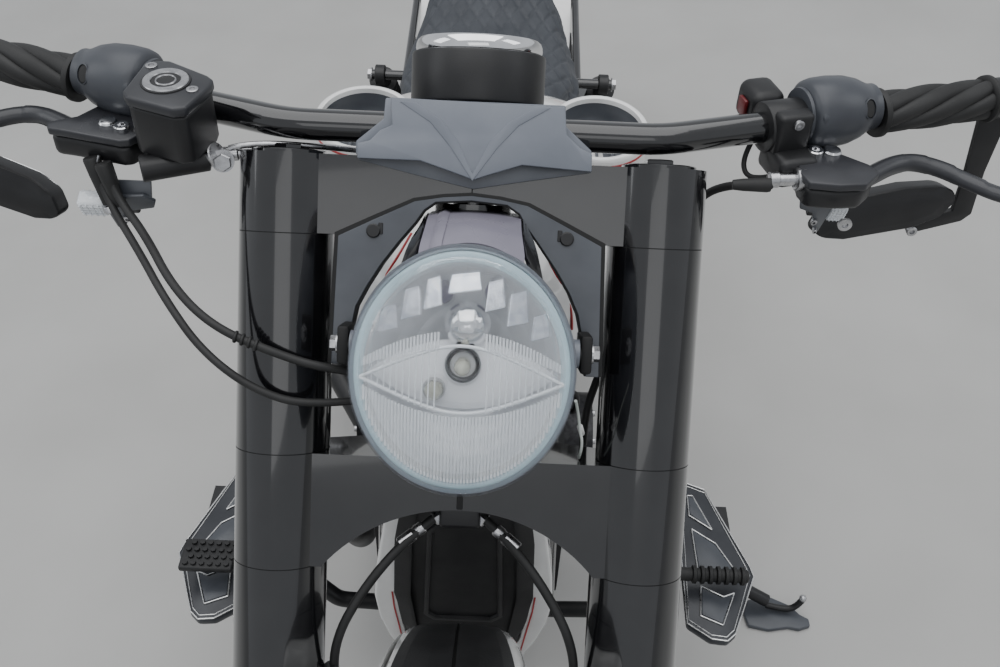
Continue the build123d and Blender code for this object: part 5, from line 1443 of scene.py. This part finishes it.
def disc(name, reach, inner, thickness, place, body, node):
    """A brake disc with its drilled holes, carrier arms and buttons."""
    ring = rings(name, [(0, 0, -thickness / 2, inner, inner),
            (0, 0, -thickness / 2, reach - 0.6, reach - 0.6), (0, 0, 0, reach, reach),
            (0, 0, thickness / 2, reach - 0.6, reach - 0.6), (0, 0, thickness / 2, inner, inner),
            (0, 0, -thickness / 2, inner, inner)], 120, False, False)
    holes = [turn @ at(radius, 0, 0) for row, radius in enumerate((inner + 12, (inner + reach) / 2,
                reach - 10)) for turn in ring_turns(16, "Z", row / 3)]
    drill = joined("drill", repeated(turned("drill", [(-9, 3.6), (9, 3.6)], 12), holes))
    apply_modifier(ring, "BOOLEAN", operation="DIFFERENCE", object=drill, solver="EXACT")
    bpy.data.objects.remove(drill)
    carrier = [turned("disc_carrier", [(-thickness / 2, 46), (thickness / 2, 46)], 48)]
    arm = moved(block("carrier_arm", (inner - 34, 15, thickness), 1, 1), at((inner + 42) / 2, 0, 0))
    button = moved(turned("carrier_button", [(-thickness / 2 - 1.4, 7.4),
                (thickness / 2 + 1.4, 7.4)], 20), at(inner + 1, 0, 0))
    carrier += repeated(joined("carrier_arm", [arm, button]), ring_turns(8, "Z"))
    settle(ring, place, body, steel, 30, (node,) if node else ())
    settle(joined(name + "_carrier", carrier), place, body, dark_steel, 30)


def wheels():
    front_centre = (0, 0, AXLE_UP)
    rear_centre = (0, WHEELBASE, REAR_UP)
    piece = tyre("front_tyre", 350.7, 120, 60.5, 266.7, 42, 14, 120, 3.2)
    settle(piece, ON_MACHINE @ at(*front_centre), "front_wheel", tyre_rubber, 30,
        ("front_tyre",))
    piece = tyre("rear_tyre", 324.6, 240, 131, 228.6, 108, 22, 120, 3.6)
    settle(piece, ON_MACHINE @ at(*rear_centre), "rear_wheel", tyre_rubber, 30,
        ("rear_tyre",))
    wheel_trim("front_wheel", 266, 42, 28, 70, front_centre)
    wheel_trim("rear_wheel", 228, 108, 33, 125, rear_centre)
    for side, name in ((1, "left_disc"), (-1, "right_disc")):
        disc(name, 150, 92, 5, ON_MACHINE @ at(side * 78, 0, AXLE_UP) @ ON_AXLE, "front_wheel",
            "front_discs" if side > 0 else "")
    disc("rear_disc", 146, 88, 6, ON_MACHINE @ at(-139, WHEELBASE, REAR_UP) @ ON_AXLE, "rear_wheel",
        "rear_disc")
    teeth = repeated(block("pulley_tooth", (22, 4, 3), 0.8, 1),
        [turn @ at(146, 0, 139.6) for turn in ring_turns(64, "X")])
    face = [moved(turned("pulley_face", [(0, 96), (1.4, 97), (1.4, 122), (0, 123)], 72, False,
                False), at(158, 0, 0) @ ON_AXLE)]
    face += repeated(cap_screw("pulley_bolt", 7, 6),
        [turn @ facing((1, 0, 0), (158, 0, 52)) for turn in ring_turns(5, "X")])
    settle(joined("pulley_teeth", teeth), ON_MACHINE @ at(*rear_centre), "rear_wheel", dark_steel,
        30)
    settle(joined("pulley_face", face), ON_MACHINE @ at(*rear_centre), "rear_wheel", steel,
        40)
    bits = []
    screws = []
    for side in SIDES:
        place = at(side * 82, 128, 62) @ spun(24, "X")
        bits.append(moved(block("caliper", (60, 56, 94), 9, 4), place))
        piston = turned("caliper_piston", [(0, 17), (3, 17), (4, 15.6), (4, 9), (2.6, 8.4),
                (2.6, 0.1)], 32)
        bits += repeated(piston, [place @ facing((side, 0, 0), (side * 29, 0, up * 0.85))
                for up in (-26, 26)])
        screws += repeated(cap_screw("caliper_screw", 4.6, 4),
            [place @ facing((side, 0, 0), (side * 30, 18, up)) for up in (-38, 0, 38)])
        screws.append(moved(hex_head("axle_nut", 15, 10), facing((side, 0, 0), (side * 181, 0, 0))))
        screws += repeated(cap_screw("lug_screw", 5, 5),
            [facing((0, 1, 0), (side * 168, 27, up)) for up in (-18, 30)])
    settle(joined("front_calipers", bits), ON_FORK, "steering", cast_black, 35,
        ("front_calipers",))
    settle(joined("front_end_screws", screws), ON_FORK, "steering", steel)


wheels()


# Cushions: a closed skin, evenly meshed, blown up a little as cloth, then quilted
VOXEL = 0.0055
PRESSURE = 4
PRESSED_FRAMES = 14
# Diamonds' width and length, the border's inset, and the seams' depth and width, in millimetres
DIAMOND = (26, 54)
BORDER = 16
BORDER_SEAM = (2.6, 2.4)
DIAMOND_SEAM = (2.3, 2.2)
FALL_OFF = 2.718


def padded_skin(name, rows, cap):
    """A soft pad with its skin blown up by no more than a cap, in metres and in its place."""
    piece = moved(smoothed(loft(name, rows), 1), ON_MACHINE)
    apply_modifier(piece, "REMESH", mode="VOXEL", voxel_size=VOXEL)
    before = [vertex.co.copy() for vertex in piece.data.vertices]
    padding = piece.modifiers.new("padding", "CLOTH")
    padding.settings.use_pressure = True
    padding.settings.uniform_pressure_force = PRESSURE
    padding.settings.effector_weights.gravity = 0
    for step in range(1, PRESSED_FRAMES + 1):
        bpy.context.scene.frame_set(step)
    bpy.context.view_layer.objects.active = piece
    bpy.ops.object.modifier_apply(modifier="padding")
    bpy.context.scene.frame_set(1)
    for vertex, was in zip(piece.data.vertices, before):
        move = vertex.co - was
        if move.length > cap:
            vertex.co = was + move * (cap / move.length)
    return smoothed(piece, 1)


def quilted(piece, half_at, first, last):
    """Sews diamonds and a border into the pad's top, as narrow dents along the seams."""
    from_world = ON_MACHINE.inverted()
    turn = from_world.to_3x3()
    normals = [vertex.normal.copy() for vertex in piece.data.vertices]
    places = [vertex.co.copy() for vertex in piece.data.vertices]
    for vertex, normal, spot in zip(piece.data.vertices, normals, places):
        if (turn @ normal).normalized().z < 0.3:
            continue
        place = from_world @ spot
        edge = min(half_at(place.y) - 20 - abs(place.x), place.y - first - BORDER,
            last - BORDER - place.y)
        depth = BORDER_SEAM[0] * FALL_OFF ** (-(edge / BORDER_SEAM[1]) ** 2)
        if edge > 0:
            across, along = place.x / DIAMOND[0], place.y / DIAMOND[1]
            for line in (across + along, across - along):
                away = abs(line - round(line)) * 22
                depth = max(depth, DIAMOND_SEAM[0] * FALL_OFF ** (
                        -(away / DIAMOND_SEAM[1]) ** 2) * min(edge / 6, 1))
        vertex.co = spot - normal * (depth - 0.5) * 0.001


def cushions():
    def half_at(y):
        share = (y - 1020) / 380
        rows = [(0, 104), (0.34, 147), (0.68, 132), (1.0, 112)]
        for (s0, h0), (s1, h1) in zip(rows, rows[1:]):
            if share <= s1:
                return h0 + (h1 - h0) * max(share - s0, 0) / (s1 - s0)
        return 112

    rows = []
    for y, half, top in ((1023, 90, 716), (1034, 101, 724), (1070, 112, 722), (1110, 130, 710),
            (1150, 142, 703), (1215, 139, 700), (1280, 130, 703), (1330, 121, 716),
            (1372, 114, 731), (1390, 108, 735), (1397, 98, 728)):
        section = [(half * 0.86, 628.5), (half * 0.99, 636), (half, 662), (half * 0.985, top - 26),
            (half * 0.90, top - 9), (half * 0.62, top - 3), (half * 0.3, top - 1.5)]
        rows.append(with_mirror([(x, y, z) for x, z in section]))
    seat = padded_skin("seat_cushion", rows, 0.005)
    quilted(seat, half_at, 1020, 1400)
    settle(seat, Matrix.Identity(4), "frame", seat_leather, 60, ("seat",))
    rows = []
    for angle in (63, 66, 72, 80, 88, 95, 98.6):
        close = 1 if 65 < angle < 97 else 0.86
        high = 33 if 65 < angle < 97 else 22
        section = [(80 * close, 363), (92 * close, 366), (93 * close, 380),
            (86 * close, 362 + high - 5), (50 * close, 362 + high - 1), (20 * close, 362 + high)]
        wedge = [(x, WHEELBASE - reach * cos(radians(angle)),
                REAR_UP + reach * sin(radians(angle))) for x, reach in section]
        rows.append(with_mirror(wedge))
    pillion = padded_skin("pillion_cushion", rows, 0.004)
    quilted(pillion, lambda y: 94, 1524, 1762)
    settle(pillion, Matrix.Identity(4), "frame", seat_leather, 60, ("pillion_pad",))


cushions()


# Engine: rocker covers, pushrod tubes, plugs, screws and the covers' rings
def engine():
    castings = []
    screws = []
    steels = []
    leads = []
    for tilt in (30, -30):
        bank = at(0, 800, 290) @ spun(tilt, "X")
        cover = block("rocker_cover", (148, 102, 34), 12, 4)
        open_piece(cover)
        pick_faces(cover, lambda middle, normal: normal.z > 0.95)
        bpy.ops.mesh.inset(thickness=10, depth=0)
        bpy.ops.mesh.inset(thickness=2.5, depth=-3)
        close_piece()
        castings.append(moved(cover, bank @ at(0, 0, 344)))
        fin_heights = [149.5, 168.5, 187.5, 206.5, 225.5, 286]
        castings += repeated(block("barrel_fin", (178, 126, 2.6), 1.0, 1),
            [bank @ at(0, 0, height) for height in fin_heights])
        screw_places = [bank @ at(x, y, 358 if x else 360) for x in (-64, 0, 64) for y in (-43, 43)]
        screws += repeated(cap_screw("rocker_screw", 5, 5), screw_places)
        rod = turned("pushrod_tube", [(92, 10), (94, 11.5), (104, 11.5), (106, 8), (222, 8),
                (224, 10), (236, 10), (238, 8.4)], 24)
        steels += repeated(rod, [bank @ at(-101, y, 0) for y in (-24, 24)])
        plug = turned("plug_cap", [(0, 7), (16, 7.6), (18, 6), (34, 5.4), (36, 3.6)], 20)
        leads.append(moved(plug, bank @ facing((1, 0, 0.25), (86, 0, 286))))
        leads.append(tube("plug_lead", [bank @ Vector((118, 0, 294)), bank @ Vector((132, 0, 288)),
                    bank @ Vector((120, -tilt * 1.2, 262)), Vector((60, 800, 520))], 3.4))
    for x, y, z, reach, side in ((166, 780, 300, 78, 1), (-170, 850, 300, 92, -1)):
        face = facing((side, 0, 0), (x, y, z))
        ring = turned("cover_ring", [(-1, reach - 3), (1.2, reach - 4), (1.2, reach - 14),
                (-1, reach - 15)], 72, False, False)
        boss = turned("cover_boss", [(-1, reach * 0.5), (3, reach * 0.48), (4.4, reach * 0.42),
                (4.4, reach * 0.3), (3, reach * 0.28), (3, 0.1)], 56)
        castings += [moved(ring, face), moved(boss, face)]
        screws += repeated(cap_screw("cover_screw", 4.6, 4),
            [face @ turn @ at(reach - 8.6, 0, 1) for turn in ring_turns(10, "Z", 0.5)])
        screws += repeated(cap_screw("boss_screw", 3.6, 3),
            [face @ turn @ at(reach * 0.36, 0, 4) for turn in ring_turns(5, "Z")])
    settle(joined("engine_castings", castings), ON_MACHINE, "frame", cast_black, 35)
    settle(joined("engine_screws", screws), ON_MACHINE, "frame", steel)
    settle(joined("pushrod_tubes", steels), ON_MACHINE, "frame", steel, 50)
    settle(joined("plug_leads", leads), ON_MACHINE, "frame", rubber, 50)


engine()


# Shocks, exhaust and the tail
def rear_end():
    springs = []
    bodies = []
    for side in SIDES:
        low = Vector((side * 183, 1530, 392))
        high = Vector((side * 183, 1300, 602))
        way = (high - low).normalized()
        frame_up = facing(way, low)
        length = (high - low).length
        turns = 9
        coil = [frame_up @ Vector((19.4 * cos(2 * pi * k / 12), 19.4 * sin(2 * pi * k / 12),
                    48 + (length - 92) * k / (12 * turns))) for k in range(12 * turns + 1)]
        springs.append(tube("shock_spring", coil, 3.4, 8))
        bodies.append(moved(turned("shock_body", [(14, 9), (24, 12), (38, 12), (39, 23), (45, 23),
                    (46, 14), (150, 14), (151, 7), (length - 46, 7), (length - 45, 23),
                    (length - 38, 23), (length - 36, 14), (length - 14, 10)], 36), frame_up))
        eye = turned("shock_eye", [(-8, 9), (-8, 15), (-7, 16), (7, 16), (8, 15), (8, 9)], 32,
            False, False)
        bodies += repeated(eye, [facing((1, 0, 0), spot) for spot in (low, high)])
    settle(joined("shock_springs", springs), ON_MACHINE, "frame", dark_steel, 60,
        ("rear_shocks",))
    settle(joined("shock_bodies", bodies), ON_MACHINE, "frame", satin_black, 40)
    clamps = []
    tips = []
    for start, end in (((-258, 1100, 222), (-258, 1640, 276)),
            ((-258, 1230, 346), (-258, 1500, 371))):
        way = Vector(end) - Vector(start)
        clamps.append(moved(turned("pipe_clamp", [(-12, 23), (-11, 25.6), (-1, 25.6), (0, 24)], 40),
                facing(way, start)))
        clamps.append(moved(cap_screw("clamp_screw", 4.4, 12),
                facing((0, 0, 1), (start[0], start[1] - 6, start[2] + 24))))
        tip = turned("muffler_tip", [(-26, 44.3), (-24, 45.6), (-1, 45.6), (0.6, 44.6), (0.6, 37.4),
                (-2, 36.6), (-24, 36.2)], 56, False, False)
        tips.append(moved(tip, facing(way, end)))
        band = turned("muffler_band", [(0, 44.2), (1, 45.2), (9, 45.2), (10, 44.2)], 56, False,
            False)
        tips.append(moved(band, facing(way, Vector(start) + way.normalized() * 40)))
    settle(joined("pipe_clamps", clamps), ON_MACHINE, "frame", steel, 40)
    settle(joined("muffler_tips", tips), ON_MACHINE, "frame", steel, 40)
    bits = []
    for side in SIDES:
        bits.append(moved(hex_head("swing_nut", 14, 8),
                facing((side, 0, 0), (side * 199, 1700, 325.3))))
        bits += repeated(hex_head("shock_nut", 9, 6),
            [facing((side, 0, 0), (side * 198, *spot)) for spot in ((1530, 392), (1300, 602))])
        bits += repeated(cap_screw("fender_screw", 6, 4),
            [facing((side, 0, 0), (side * 133, y, 560)) for y in (1560, 1860)])
        bits.append(moved(cap_screw("plate_screw", 4, 3),
                facing((0, 0.95, 0.31), (side * 60, 2074, 420))))
    settle(joined("rear_screws", bits), ON_MACHINE, "frame", steel)


rear_end()


# The thin red line that runs over each shoulder of the tank, beside the lamp
def tank_lines():
    lines = []
    for side in SIDES:
        route = [(61, 556, 852.6), (68.6, 537, 846.8), (75, 525, 841), (82.4, 515.6, 831.6),
            (90.6, 510, 817), (95.4, 507.6, 801), (96.8, 508, 782)]
        lines.append(tube("tank_line", [(side * x, y, z) for x, y, z in route], 1.5, 8))
    settle(joined("tank_lines", lines), ON_MACHINE, "frame", red_print, 50)


tank_lines()
